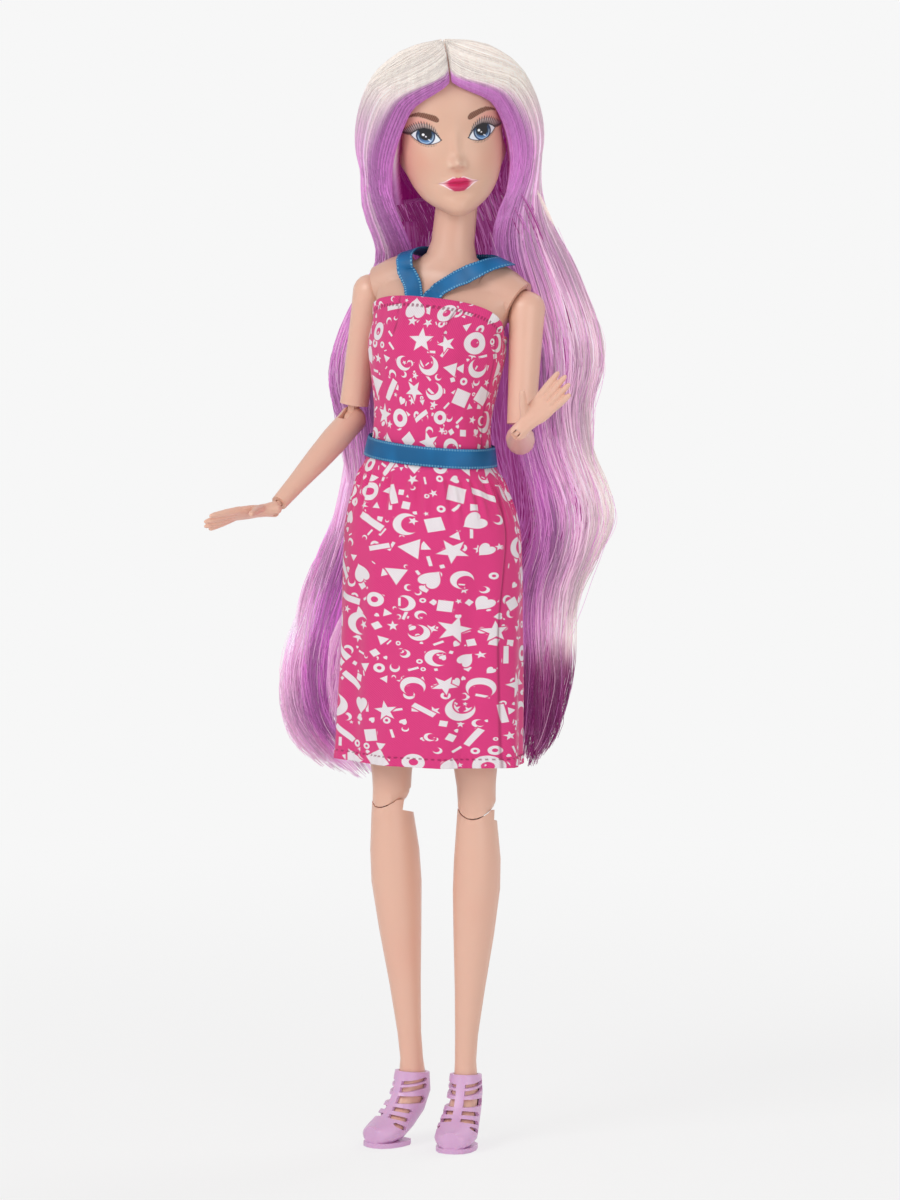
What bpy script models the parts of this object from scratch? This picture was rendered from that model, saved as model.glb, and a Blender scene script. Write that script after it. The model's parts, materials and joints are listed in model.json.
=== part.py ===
"""Jointed fashion doll in a halter dress, with long wavy hair and openwork shoes.

The doll faces -Y, +X is its left and +Z is up. The origin is the middle of the waist. Each piece is
modelled straight in the frame of the empty that carries it, and the empties hold the resting pose.
"""

import math

import bmesh
import bpy
import numpy as np
from mathutils import Matrix, Vector

# Clearances, skins and overruns, in metres
GAP = 0.0003
SEAM_GAP = 0.0004
FABRIC = 0.0005
RIBBON = 0.0004
OVERRUN = 0.002
PIN_CLEARANCE = 0.0002

# Torso and neck
TORSO_RISE = 0.0500
TORSO_HALF_WIDTH = 0.0200
TORSO_HALF_DEPTH = 0.0140
SEAM_Y = 0.0035
BUST_HEIGHT = 0.0290
BUST_SPREAD = 0.0078
BUST_SIZE = 0.0058
BUST_DEPTH = 0.0022
NECK_RADIUS = 0.0057
NECK_TOP = 0.0665
NECK_PIVOT = 0.0650
KNOB_EYE_RADIUS = 0.0022
KNOB_EYE_WIDTH = 0.0018
KNOB_STEM_RADIUS = 0.0016
KNOB_STEM_LENGTH = 0.0060
KNOB_CAP_RADIUS = 0.0042
KNOB_CAP_HEIGHT = 0.0018
NECK_SOCKET_RADIUS = 0.0067
NECK_SOCKET_HEIGHT = 0.0036

# Shoulders and arms
SHOULDER_X = 0.0225
SHOULDER_Z = 0.0400
SHOULDER_BALL = 0.0049
SHOULDER_CUP = 0.0054
RIM_INSET = 0.0030
RIM_RADIUS = 0.0061
BARREL_RADIUS = 0.0068
BARREL_LENGTH = 0.0100
RIM_TRIM_RADIUS = 0.0083
HUB_SHAFT_RADIUS = 0.0018
HUB_SHAFT_LENGTH = 0.0060
HUB_FLANGE_RADIUS = 0.0032
HUB_FLANGE_WIDTH = 0.0014
HUB_TONGUE_RADIUS = 0.0030
HUB_TONGUE_WIDTH = 0.0021
UPPER_ARM_LENGTH = 0.0350
UPPER_ARM_RADIUS = 0.0045
ELBOW_RADIUS = 0.0039
ELBOW_TONGUE_RADIUS = 0.0026
ELBOW_TONGUE_WIDTH = 0.0020
ELBOW_STEM_RADIUS = 0.0013
ELBOW_FACE = 0.0051
ELBOW_STEM_LENGTH = 0.0045
ELBOW_FLANGE_RADIUS = 0.0021
ELBOW_FLANGE_WIDTH = 0.0012
ELBOW_PIN_RADIUS = 0.0007
FOREARM_LENGTH = 0.0380
FOREARM_RADIUS = 0.0037
WRIST_RADIUS = 0.0023
WRIST_TONGUE_RADIUS = 0.0015
WRIST_TONGUE_WIDTH = 0.0011
WRIST_STEM_RADIUS = 0.0008
WRIST_FACE = 0.0030
WRIST_STEM_LENGTH = 0.0028
WRIST_FLANGE_RADIUS = 0.0013
WRIST_FLANGE_WIDTH = 0.0008
WRIST_PIN_RADIUS = 0.0004
HAND_LENGTH = 0.0212
PALM_HALF_WIDTH = 0.0034
PALM_HALF_DEPTH = 0.0014
FINGER_RADIUS = 0.00100

# Hips and legs
HIP_X = 0.0115
HIP_Z = -0.0255
HIP_BALL = 0.0093
HIP_FLAT = 0.0060
HIP_OPENING_RISE = 0.0103
CROTCH_HALF_WIDTH = 0.0020
AXLE_RADIUS = 0.0030
AXLE_STEM_RADIUS = 0.0012
HIP_DISC_RADIUS = 0.0040
HIP_DISC_WIDTH = 0.0010
HIP_TONGUE_RADIUS = 0.0032
HIP_TONGUE_WIDTH = 0.0030
HIP_PIN_RADIUS = 0.0009
THIGH_LENGTH = 0.0675
THIGH_CUT = 0.0140
THIGH_RADIUS = 0.0088
THIGH_PEG_RADIUS = 0.0026
THIGH_PEG_LENGTH = 0.0030
THIGH_FLANGE_RADIUS = 0.0038
THIGH_FLANGE_WIDTH = 0.0016
KNEE_RADIUS = 0.0053
KNEE_RISE = 0.0007
KNEE_RELIEF = 0.0056
KNEE_TONGUE_RADIUS = 0.0036
KNEE_TONGUE_WIDTH = 0.0026
KNEE_PIN_RADIUS = 0.0009
CALF_RADIUS = 0.0064
CALF_SET_IN = 0.0040

# Feet and shoes
ANKLE_HEIGHT = 0.0225
FOOT_RADIUS = 0.0040
FOOT_REACH = 0.0120
SOLE_THICKNESS = 0.0013
SHOE_WALL = 0.0009
SHOE_STRAP = 0.0012
SHOE_RIB = 0.0011
SHOE_WINDOW = 0.0010
SOLE_DROP = 0.1885

# Head and hair
HEAD_HEIGHT = 0.0430
HEAD_HALF_WIDTH = 0.0142
HEAD_HALF_DEPTH = 0.0155
CHIN_RISE = -0.0008
NOSE_SIZE = 0.0020
HAIR_HEIGHT = 0.0450
HAIR_HALF_WIDTH = 0.0252
HAIR_HALF_DEPTH = 0.0200
FACE_HALF_WIDTH = 0.0152
FACE_HALF_HEIGHT = 0.0235
FACE_RISE = 0.0108
FACE_DEPTH = 0.0030
HAIR_DROP = 0.0940
HAIR_SPREAD = 0.0500
HAIR_BACK = 0.0160
HAIR_THICKNESS = 0.0060

# Dress and ribbons
BODICE_LOW = -0.0005
BODICE_FRONT = 0.0410
BODICE_SIDE = 0.0325
BODICE_BACK = 0.0300
SKIRT_TOP = -0.0034
SKIRT_LENGTH = 0.0801
SKIRT_HALF_WIDTH = 0.0255
SKIRT_HALF_DEPTH = 0.0150
FOLD_DEPTH = 0.0009
BELT_WIDTH = 0.0052
HALTER_WIDTH = 0.0048
HALTER_LIFT = 0.0022

# Resting pose, in degrees
TORSO_LEAN = 4.5
TORSO_BACK = 2.0
NECK_SLANT = -7.0
HEAD_NOD = 8.0
HEAD_TURN = 26.0
RIM_TILT = 24.0
HIP_BACK = 3.0
HIP_OPENING_SLANT = 14.0
KNEE_RELIEF_SLANT = 14.0
LEFT_ARM = {"swing": 9.0, "raise": 5.0, "swivel": 16.0, "bend": 89.0, "twist": 42.0, "wrist": 64.0}
RIGHT_ARM = {"swing": 0.0, "raise": 4.0, "swivel": 13.0, "bend": 51.0, "twist": 48.0, "wrist": 37.0}
LEFT_LEG = {"splay": 6.4, "swivel": 7.0}
RIGHT_LEG = {"splay": -5.0, "swivel": 22.0}

# Sides of round pieces
BODY_SIDES = 28
CROWN_SIDES = 24
LIMB_SIDES = 14
PIN_SIDES = 8
HAIR_SIDES = 12
HEAD_SIDES = 28
CLOTH_SIDES = 32
SHOE_SIDES = 16

# Torso sections: height, half width, front, back and squareness, as shares of rise, width and depth
TORSO_SHARES = (
    (-0.690, 0.32, -0.20, 0.56, 2.0),
    (-0.640, 0.52, -0.48, 0.82, 2.0),
    (-0.500, 0.88, -0.76, 1.06, 2.1),
    (-0.360, 1.02, -0.88, 1.10, 2.2),
    (-0.200, 0.950, -0.87, 0.93, 2.1),
    (0.000, 0.800, -0.76, 0.78, 2.0),
    (0.180, 0.770, -0.82, 0.70, 2.0),
    (0.360, 0.830, -0.93, 0.70, 2.1),
    (0.540, 0.900, -1.00, 0.72, 2.2),
    (0.680, 0.880, -0.88, 0.74, 2.3),
    (0.800, 0.960, -0.58, 0.72, 2.5),
    (0.870, 1.020, -0.36, 0.68, 2.6),
    (0.925, 0.960, -0.24, 0.62, 2.5),
    (0.965, 0.720, -0.22, 0.61, 2.3),
    (1.000, 0.480, -0.23, 0.62, 2.1),
    (1.040, 0.345, -0.220, 0.615, 2.0),
    (1.110, 0.290, -0.190, 0.600, 2.0),
    (1.290, 0.280, -0.150, 0.620, 2.0),
)

# Limb sections: place along the limb, half width, half depth, shift sideways and back
UPPER_ARM_SHARES = (
    (0.00, 1.08, 1.08, 0.00, 0.00),
    (0.18, 1.02, 1.02, 0.00, 0.00),
    (0.45, 0.95, 0.96, 0.00, 0.00),
    (0.75, 0.89, 0.90, 0.00, 0.00),
    (1.00, 0.86, 0.86, 0.00, 0.00),
)
FOREARM_SHARES = (
    (0.00, 0.99, 0.99, 0.00, 0.00),
    (0.20, 1.03, 1.00, 0.00, 0.00),
    (0.45, 0.93, 0.88, 0.00, 0.00),
    (0.75, 0.73, 0.68, 0.00, 0.00),
    (1.00, 0.60, 0.58, 0.00, 0.00),
)
THIGH_SHARES = (
    (0.00, 1.02, 1.04, 0.00, 0.00),
    (0.15, 0.99, 1.02, 0.00, 0.00),
    (0.50, 0.86, 0.90, 0.00, 0.00),
    (0.80, 0.70, 0.73, 0.00, 0.00),
    (0.93, 0.605, 0.62, 0.00, 0.00),
    (1.00, 0.590, 0.590, 0.00, -0.01),
    (1.10, 0.600, 0.620, 0.00, -0.01),
)
CALF_SHARES = (
    (0.00, 0.82, 0.84, 0.00, -0.01),
    (0.06, 0.87, 0.92, 0.00, 0.02),
    (0.20, 0.99, 1.09, 0.02, 0.12),
    (0.32, 1.00, 1.12, 0.10, 0.14),
    (0.50, 0.86, 0.94, 0.32, 0.14),
    (0.72, 0.64, 0.68, 0.64, 0.10),
    (0.90, 0.49, 0.52, 0.90, 0.02),
    (1.00, 0.44, 0.49, 1.00, 0.00),
)

# Foot sections: place forward and up, tilt in degrees, half width and half thickness
FOOT_SHARES = (
    (0.28, 1.00, 0.0, 0.72, 0.80),
    (0.30, 0.84, 6.0, 0.76, 0.95),
    (0.28, 0.66, 18.0, 0.84, 1.14),
    (0.12, 0.48, 36.0, 0.90, 1.06),
    (-0.16, 0.325, 54.0, 1.02, 0.84),
    (-0.46, 0.205, 72.0, 1.16, 0.66),
    (-0.74, 0.160, 86.0, 1.06, 0.50),
    (-0.93, 0.142, 90.0, 0.78, 0.36),
)

# Head sections: height, half width, front, back and squareness
HEAD_RING_SHARES = (
    0.0, 0.03, 0.078, 0.13, 0.17, 0.20, 0.232, 0.27, 0.31, 0.335, 0.36, 0.41,
    0.47, 0.53, 0.60, 0.69, 0.78, 0.86, 0.93, 0.975, 0.998,
)
HEAD_SHARES = (
    (0.000, 0.16, -0.84, -0.30, 2.0),
    (0.030, 0.36, -0.91, 0.24, 2.0),
    (0.078, 0.575, -0.93, 0.58, 2.1),
    (0.150, 0.750, -0.92, 0.78, 2.2),
    (0.232, 0.860, -0.905, 0.88, 2.2),
    (0.350, 0.935, -0.895, 0.97, 2.2),
    (0.510, 0.972, -0.865, 1.04, 2.2),
    (0.670, 1.000, -0.875, 1.06, 2.2),
    (0.810, 0.930, -0.760, 0.95, 2.1),
    (0.915, 0.690, -0.500, 0.68, 2.0),
    (0.975, 0.345, -0.190, 0.36, 2.0),
    (0.998, 0.080, 0.020, 0.12, 2.0),
)
# Features of the face: across, up, spread across, spread up and size forward
FACE_SHARES = (
    (0.00, 0.345, 0.115, 0.050, 1.00),
    (0.00, 0.430, 0.075, 0.080, 0.55),
    (0.00, 0.225, 0.260, 0.028, 0.42),
    (0.00, 0.185, 0.220, 0.022, 0.34),
    (0.00, 0.060, 0.260, 0.050, 0.35),
    (0.52, 0.500, 0.200, 0.050, -0.42),
    (-0.52, 0.500, 0.200, 0.050, -0.42),
    (0.58, 0.330, 0.240, 0.090, 0.22),
    (-0.58, 0.330, 0.240, 0.090, 0.22),
)

# Crown of hair: height, half width, front, back and squareness
CROWN_SHARES = (
    (0.030, 0.79, -0.10, 0.98, 2.1),
    (0.150, 0.90, -0.26, 1.00, 2.1),
    (0.300, 0.985, -0.42, 1.04, 2.1),
    (0.420, 1.000, -0.54, 1.08, 2.1),
    (0.560, 0.965, -0.66, 1.10, 2.1),
    (0.690, 0.890, -0.74, 1.06, 2.1),
    (0.800, 0.780, -0.74, 0.96, 2.1),
    (0.900, 0.580, -0.62, 0.76, 2.0),
    (0.965, 0.340, -0.40, 0.48, 2.0),
    (1.000, 0.080, -0.10, 0.14, 2.0),
)

# Lengths of hair: height, outer edge, inner edge, place back and half thickness, as shares of the
# hair's drop, spread, back and thickness
LEFT_HAIR_SHARES = (
    (0.760, 0.48, 0.10, 0.92, 0.66),
    (0.690, 0.56, 0.12, 0.94, 0.74),
    (0.600, 0.64, 0.18, 0.98, 0.80),
    (0.500, 0.71, 0.24, 1.08, 0.86),
    (0.360, 0.81, 0.30, 1.06, 0.92),
    (0.240, 0.84, 0.34, 1.06, 0.94),
    (0.110, 0.77, 0.36, 1.10, 0.90),
    (0.000, 0.77, 0.38, 1.16, 0.90),
    (-0.130, 0.84, 0.42, 1.24, 0.92),
    (-0.210, 0.86, 0.44, 1.28, 0.92),
    (-0.300, 0.80, 0.42, 1.30, 0.90),
    (-0.400, 0.69, 0.36, 1.32, 0.84),
    (-0.520, 0.64, 0.33, 1.30, 0.80),
    (-0.700, 0.62, 0.32, 1.26, 0.78),
    (-0.820, 0.57, 0.31, 1.22, 0.66),
    (-0.900, 0.46, 0.34, 1.20, 0.40),
)
RIGHT_HAIR_SHARES = (
    (0.760, -0.54, -0.04, 0.86, 0.64),
    (0.690, -0.49, -0.08, 0.88, 0.70),
    (0.600, -0.41, -0.11, 0.92, 0.76),
    (0.520, -0.43, -0.14, 1.04, 0.82),
    (0.440, -0.56, -0.20, 1.10, 0.88),
    (0.340, -0.66, -0.26, 1.10, 0.90),
    (0.180, -0.72, -0.32, 1.06, 0.90),
    (0.020, -0.66, -0.36, 1.10, 0.86),
    (-0.120, -0.65, -0.40, 1.16, 0.84),
    (-0.240, -0.71, -0.46, 1.20, 0.84),
    (-0.360, -0.83, -0.53, 1.20, 0.86),
    (-0.520, -0.94, -0.66, 1.14, 0.88),
    (-0.700, -1.01, -0.70, 1.08, 0.88),
    (-0.820, -0.99, -0.66, 1.08, 0.86),
    (-0.930, -0.85, -0.50, 1.12, 0.74),
    (-0.995, -0.62, -0.44, 1.16, 0.42),
)
BACK_HAIR_SHARES = (
    (0.760, 0.38, -0.34, 1.46, 0.72),
    (0.680, 0.42, -0.36, 1.54, 0.80),
    (0.560, 0.42, -0.34, 1.62, 0.86),
    (0.400, 0.46, -0.40, 1.70, 0.92),
    (0.200, 0.48, -0.44, 1.76, 0.92),
    (0.000, 0.48, -0.46, 1.84, 0.92),
    (-0.200, 0.48, -0.46, 1.98, 0.90),
    (-0.400, 0.44, -0.46, 2.02, 0.88),
    (-0.600, 0.38, -0.46, 1.98, 0.84),
    (-0.780, 0.36, -0.50, 1.90, 0.74),
    (-0.900, 0.24, -0.42, 1.86, 0.44),
)

# Skirt sections: place down, half width, front and back
SKIRT_SHARES = (
    (0.000, 0.700, -0.835, 0.86),
    (0.070, 0.800, -0.90, 0.97),
    (0.200, 0.930, -0.96, 1.16),
    (0.330, 0.955, -0.97, 1.22),
    (0.530, 0.965, -0.95, 1.14),
    (0.780, 0.985, -0.94, 1.10),
    (1.000, 1.000, -0.94, 1.08),
)

# Fingers: place across the palm, length and spread in degrees
FINGER_SHARES = (
    (0.70, 0.92, 4.0),
    (0.24, 1.02, 1.0),
    (-0.24, 0.96, -2.0),
    (-0.68, 0.78, -6.0),
)

# Halter ribbon route: angle round the body in degrees, height as a share of the torso's rise and
# how far the ribbon stands off, as a share of its lift
HALTER_SHARES = (
    (257.4, 0.830, 0.00),
    (255.0, 0.870, 0.20),
    (247.0, 0.922, 0.60),
    (234.0, 0.960, 1.00),
    (210.0, 0.988, 0.90),
    (185.0, 1.003, 0.70),
    (155.0, 1.010, 0.40),
    (120.0, 1.008, 0.20),
    (90.0, 1.003, 0.20),
    (62.0, 0.994, 0.50),
    (35.0, 0.980, 1.00),
    (12.0, 0.968, 1.25),
    (-12.0, 0.965, 1.35),
    (-35.0, 0.962, 1.25),
    (-52.0, 0.956, 1.10),
    (-66.0, 0.944, 0.90),
    (-77.0, 0.918, 0.60),
    (-84.0, 0.886, 0.30),
    (-88.5, 0.855, 0.10),
    (-90.0, 0.830, 0.00),
)

SKIN = (0.80, 0.50, 0.38)
PINK = (0.72, 0.045, 0.22)
BLUE = (0.012, 0.14, 0.37)
LILAC = (0.60, 0.30, 0.58)
HAIR = (0.60, 0.32, 0.58)
CREAM = (0.80, 0.74, 0.66)


def clear_scene():
    for item in list(bpy.data.objects):
        bpy.data.objects.remove(item, do_unlink=True)


def material(name, colour, roughness):
    made = bpy.data.materials.new(name)
    made.use_nodes = True
    shader = made.node_tree.nodes["Principled BSDF"]
    shader.inputs["Base Color"].default_value = (*colour, 1.0)
    shader.inputs["Roughness"].default_value = roughness
    shader.inputs["Metallic"].default_value = 0.0
    made.diffuse_color = (*colour, 1.0)
    return made


def frame(name, parent=None, place=(0, 0, 0), turns=()):
    """An empty at a place in its parent, turned by (axis, degrees) one after the other."""
    empty = bpy.data.objects.new(name, None)
    bpy.context.collection.objects.link(empty)
    matrix = Matrix.Translation(Vector(place))
    for axis, degrees in turns:
        matrix = matrix @ Matrix.Rotation(math.radians(degrees), 4, axis)
    empty.parent = parent
    empty.matrix_local = matrix
    bpy.context.view_layer.update()
    return empty


def upright(name, parent):
    """An empty at its parent's place that faces the same way but stands upright."""
    empty = frame(name, parent)
    ahead = parent.matrix_world.to_3x3() @ Vector((0, 1, 0))
    turn = Matrix.Rotation(math.atan2(-ahead.x, ahead.y), 4, "Z")
    empty.matrix_world = Matrix.Translation(parent.matrix_world.translation) @ turn
    bpy.context.view_layer.update()
    return empty


def solid(name, shape, parent, colour, roughness=0.45):
    """The object that a bmesh makes, smooth shaded, with its own material."""
    bmesh.ops.recalc_face_normals(shape, faces=shape.faces)
    mesh = bpy.data.meshes.new(name)
    shape.to_mesh(mesh)
    shape.free()
    mesh.shade_smooth()
    mesh.set_sharp_from_angle(angle=math.radians(38))
    made = bpy.data.objects.new(name, mesh)
    bpy.context.collection.objects.link(made)
    made.parent = parent
    if colour is not None:
        mesh.materials.append(material(name, colour, roughness))
    return made


def helper(name, shape, parent):
    """A cutter or a shape to be joined, which is no piece of its own."""
    made = solid(name, shape, parent, None)
    made.hide_render = True
    made.display_type = "WIRE"
    return made


def boolean(piece, other, operation="DIFFERENCE"):
    change = piece.modifiers.new(operation.title(), "BOOLEAN")
    change.operation = operation
    change.solver = "EXACT"
    change.object = other
    return change


def refined(rows, steps):
    """Rows of numbers read again on a smooth curve, with so many steps from each row to the next."""
    table = np.array(rows, dtype=float)
    slopes = np.gradient(table, table[:, 0], axis=0)
    found = []
    for here, there, left, right in zip(table, table[1:], slopes, slopes[1:]):
        span = there[0] - here[0]
        for t in np.arange(steps) / steps:
            found.append(
                (2 * t**3 - 3 * t**2 + 1) * here
                + (t**3 - 2 * t**2 + t) * span * left
                + (3 * t**2 - 2 * t**3) * there
                + (t**3 - t**2) * span * right
            )
    found.append(table[-1])
    return np.array(found)


def round_ring(sides, half_width, front, back, squareness=2.0, crowd=0.0):
    """Points of a rounded section seen from above, which can crowd towards the front."""
    ring = []
    middle, half_depth = (front + back) / 2, (back - front) / 2
    for i in range(sides):
        turn = 2 * math.pi * i / sides
        turn -= crowd * math.cos(turn)
        across, along = math.cos(turn), math.sin(turn)
        x = half_width * math.copysign(abs(across) ** (2 / squareness), across)
        y = middle + half_depth * math.copysign(abs(along) ** (2 / squareness), along)
        ring.append((x, y))
    return ring


def loft(rings, closed=False):
    """The surface through rings of points, capped at its ends or closed on itself."""
    shape = bmesh.new()
    rows = [[shape.verts.new(Vector(point)) for point in ring] for ring in rings]
    pairs = list(zip(rows, rows[1:]))
    if closed:
        pairs.append((rows[-1], rows[0]))
    for low, high in pairs:
        for i, near in enumerate(low):
            j = (i + 1) % len(low)
            shape.faces.new((near, low[j], high[j], high[i]))
    if not closed:
        shape.faces.new(tuple(reversed(rows[0])))
        shape.faces.new(tuple(rows[-1]))
    return shape


def turned(profile, sides, matrix=None):
    """A body turned about Z from (radius, height) pairs, listed from one end to the other."""
    rings = []
    for radius, height in profile:
        turns = [2 * math.pi * i / sides for i in range(sides)]
        rings.append([(radius * math.cos(t), radius * math.sin(t), height) for t in turns])
    shape = loft(rings)
    if matrix is not None:
        bmesh.ops.transform(shape, matrix=matrix, verts=shape.verts)
    return shape


def prism(outline, axis, half_width):
    """An outline of (Y, Z) points extruded both ways along X, or of (X, Z) points along Y."""
    shape = bmesh.new()
    if axis == "X":
        points = [Vector((-half_width, y, z)) for y, z in outline]
        travel = Vector((2 * half_width, 0, 0))
    else:
        points = [Vector((x, -half_width, z)) for x, z in outline]
        travel = Vector((0, 2 * half_width, 0))
    face = shape.faces.new([shape.verts.new(point) for point in points])
    moved = bmesh.ops.extrude_face_region(shape, geom=[face])["geom"]
    bmesh.ops.translate(shape, vec=travel, verts=[v for v in moved if isinstance(v, bmesh.types.BMVert)])
    return shape


def box(low, high, matrix=None):
    shape = bmesh.new()
    bmesh.ops.create_cube(shape, size=1.0)
    size = Vector(high) - Vector(low)
    middle = (Vector(high) + Vector(low)) / 2
    bmesh.ops.scale(shape, vec=size, verts=shape.verts)
    bmesh.ops.translate(shape, vec=middle, verts=shape.verts)
    if matrix is not None:
        bmesh.ops.transform(shape, matrix=matrix, verts=shape.verts)
    return shape


def heading(degrees):
    """Unit direction in a hinge's plane: 0 is down the limb, 90 its second axis, 180 up."""
    turn = math.radians(degrees)
    return math.sin(turn), -math.cos(turn)


def slot_outline(radius, reach, start, end, steps=5):
    """A round pocket about a hinge, open to the outside from one heading to another."""
    points = []
    for i in range(2 * steps + 1):
        across, up = heading(end + (start + 360 - end) * i / (2 * steps))
        points.append((radius * across, radius * up))
    for i in range(steps + 1):
        across, up = heading(start + (end - start) * i / steps)
        points.append((reach * across, reach * up))
    return points


def tongue_outline(radius, neck_half_width, neck_length, degrees, steps=12):
    """A round eye about a hinge with a straight neck that leaves it at a heading."""
    open_by = math.degrees(math.asin(neck_half_width / radius))
    points = []
    for i in range(steps + 1):
        across, up = heading(degrees + open_by + (360 - 2 * open_by) * i / steps)
        points.append((radius * across, radius * up))
    across, up = heading(degrees)
    side, over = heading(degrees + 90)
    for sign in (-1, 1):
        points.append(
            (
                neck_length * across + sign * neck_half_width * side,
                neck_length * up + sign * neck_half_width * over,
            )
        )
    return points


def pin(name, parent, radius, half_length, turn_axis=None):
    """A plain hinge pin along X, or along Y where it is turned about Z."""
    matrix = Matrix.Rotation(math.radians(90), 4, "Y")
    if turn_axis is not None:
        matrix = Matrix.Rotation(math.radians(90), 4, turn_axis) @ matrix
    shape = turned([(radius, -half_length), (radius, half_length)], PIN_SIDES, matrix)
    return shape if name is None else solid(name, shape, parent, (0.75, 0.73, 0.70), 0.3)


def ball_cap(radius, low, high, steps):
    """(radius, height) pairs down a ball, from one angle off its top to another."""
    pairs = []
    for i in range(steps + 1):
        turn = math.radians(low + (high - low) * i / steps)
        pairs.append((radius * math.sin(turn), radius * math.cos(turn)))
    return pairs


def limb_rings(rows, width, start, end, set_in=0.0, sides=LIMB_SIDES):
    """Rings down a limb whose rows are shares of its width, from one distance below its joint on."""
    rings = []
    for share, half_width, half_depth, aside, back in rows:
        down = start + (end - start) * share
        ring = round_ring(sides, half_width * width, -half_depth * width, half_depth * width)
        rings.append([(x + aside * set_in, y + back * width, -down) for x, y in ring])
    return rings


def rings_of(pairs, sides=LIMB_SIDES):
    return [[(x, y, height) for x, y in round_ring(sides, radius, -radius, radius)] for radius, height in pairs]


def torso_rows(steps=1):
    return refined(TORSO_SHARES, steps)


TORSO_TABLE = torso_rows(4)


def torso_section(share):
    """Half width, front, back and squareness of the torso at a share of its rise."""
    rows = TORSO_TABLE
    return [float(np.interp(share, rows[:, 0], rows[:, column])) for column in (1, 2, 3, 4)]


def bust(x, z):
    """How far the bust stands forward at a point of the chest."""
    return sum(
        BUST_DEPTH * math.exp(-(((x - side * BUST_SPREAD) ** 2 + (z - BUST_HEIGHT) ** 2) / BUST_SIZE**2))
        for side in (-1, 1)
    )


def torso_ring(share, out=0.0, sides=BODY_SIDES, height=None):
    """A ring of the torso's skin, or of a cloth that lies so far out from it."""
    half_width, front, back, squareness = torso_section(share)
    z = share * TORSO_RISE if height is None else height
    ring = round_ring(
        sides,
        half_width * TORSO_HALF_WIDTH + out,
        front * TORSO_HALF_DEPTH - out,
        back * TORSO_HALF_DEPTH + out,
        squareness,
    )
    return [(x, y - (bust(x, z) if y < 0 else 0.0), z) for x, y in ring]


def torso_point(degrees, share, out=0.0):
    """A point over the torso's skin at an angle round it, from +X towards +Y."""
    half_width, front, back, squareness = torso_section(share)
    turn = math.radians(degrees)
    across, along = math.cos(turn), math.sin(turn)
    front, back = front * TORSO_HALF_DEPTH, back * TORSO_HALF_DEPTH
    x = half_width * TORSO_HALF_WIDTH * math.copysign(abs(across) ** (2 / squareness), across)
    y = (front + back) / 2 + (back - front) / 2 * math.copysign(abs(along) ** (2 / squareness), along)
    z = share * TORSO_RISE
    return Vector((x, y - (bust(x, z) if y < 0 else 0.0), z))


def torso_normal(degrees, share):
    step_round, step_up = 4.0, 0.02
    around = torso_point(degrees + step_round, share) - torso_point(degrees - step_round, share)
    upward = torso_point(degrees, share + step_up) - torso_point(degrees, share - step_up)
    return around.cross(upward).normalized()


def shoulder_matrix(side):
    """Frame of a shoulder's socket: its X runs out and down through the middle of the arm's ball."""
    place = Matrix.Translation(Vector((side * SHOULDER_X, SEAM_Y, SHOULDER_Z)))
    return place @ Matrix.Rotation(math.radians(side * RIM_TILT), 4, "Y")


def along_x(side):
    """Turns a body that was turned about Z so that its +Z runs along the side's X."""
    return Matrix.Rotation(math.radians(side * 90), 4, "Y")


def torso_cutters(torso_frame):
    """Everything that is cut from both halves of the torso shell."""
    cutters = []
    for side in (-1, 1):
        place = shoulder_matrix(side) @ along_x(side)
        trim = [(RIM_TRIM_RADIUS, -RIM_INSET), (RIM_TRIM_RADIUS, BARREL_LENGTH)]
        cutters.append(helper("rim_trim", turned(trim, 20, place), torso_frame))
        cup = [(SHOULDER_CUP * math.sin(math.radians(a)), -SHOULDER_CUP * math.cos(math.radians(a)))
               for a in (6, 28, 50, 72, 94)]
        cutters.append(helper("shoulder_cup", turned(cup, 20, place), torso_frame))
        bore = HUB_SHAFT_RADIUS + GAP
        wide = HUB_FLANGE_RADIUS + GAP
        inner = -SHOULDER_CUP - HUB_SHAFT_LENGTH
        profile = [
            (wide, inner - HUB_FLANGE_WIDTH - GAP),
            (wide, inner + GAP),
            (bore, inner + GAP),
            (bore, -GAP),
        ]
        cutters.append(helper("hub_bore", turned(profile, 12, place), torso_frame))
        hip = Vector((side * HIP_X, SEAM_Y, HIP_Z))
        slant = Matrix.Translation(hip) @ Matrix.Rotation(math.radians(-HIP_OPENING_SLANT), 4, "X")
        reach = TORSO_RISE
        inboard = HIP_X - CROTCH_HALF_WIDTH
        low = (-inboard if side > 0 else -reach, -reach, -reach)
        high = (reach if side > 0 else inboard, reach, HIP_OPENING_RISE)
        cutters.append(helper("leg_opening", box(low, high, slant), torso_frame))
    across = Matrix.Translation(Vector((0, SEAM_Y, HIP_Z))) @ along_x(1)
    bore = AXLE_RADIUS + GAP
    width = CROTCH_HALF_WIDTH + OVERRUN
    cutters.append(helper("axle_bore", turned([(bore, -width), (bore, width)], 20, across), torso_frame))
    return cutters


def neck_cutters(neck_frame):
    """The fork at the top of the neck, in which the knob's eye nods."""
    slot = slot_outline(KNOB_EYE_RADIUS + GAP, NECK_SOCKET_RADIUS, 110, 250)
    width = KNOB_EYE_WIDTH / 2 + GAP
    hole = pin(None, None, ELBOW_PIN_RADIUS + PIN_CLEARANCE, NECK_RADIUS - 3 * GAP)
    return [
        helper("neck_slot", prism(slot, "X", width), neck_frame),
        helper("neck_pin_hole", hole, neck_frame),
    ]


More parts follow.
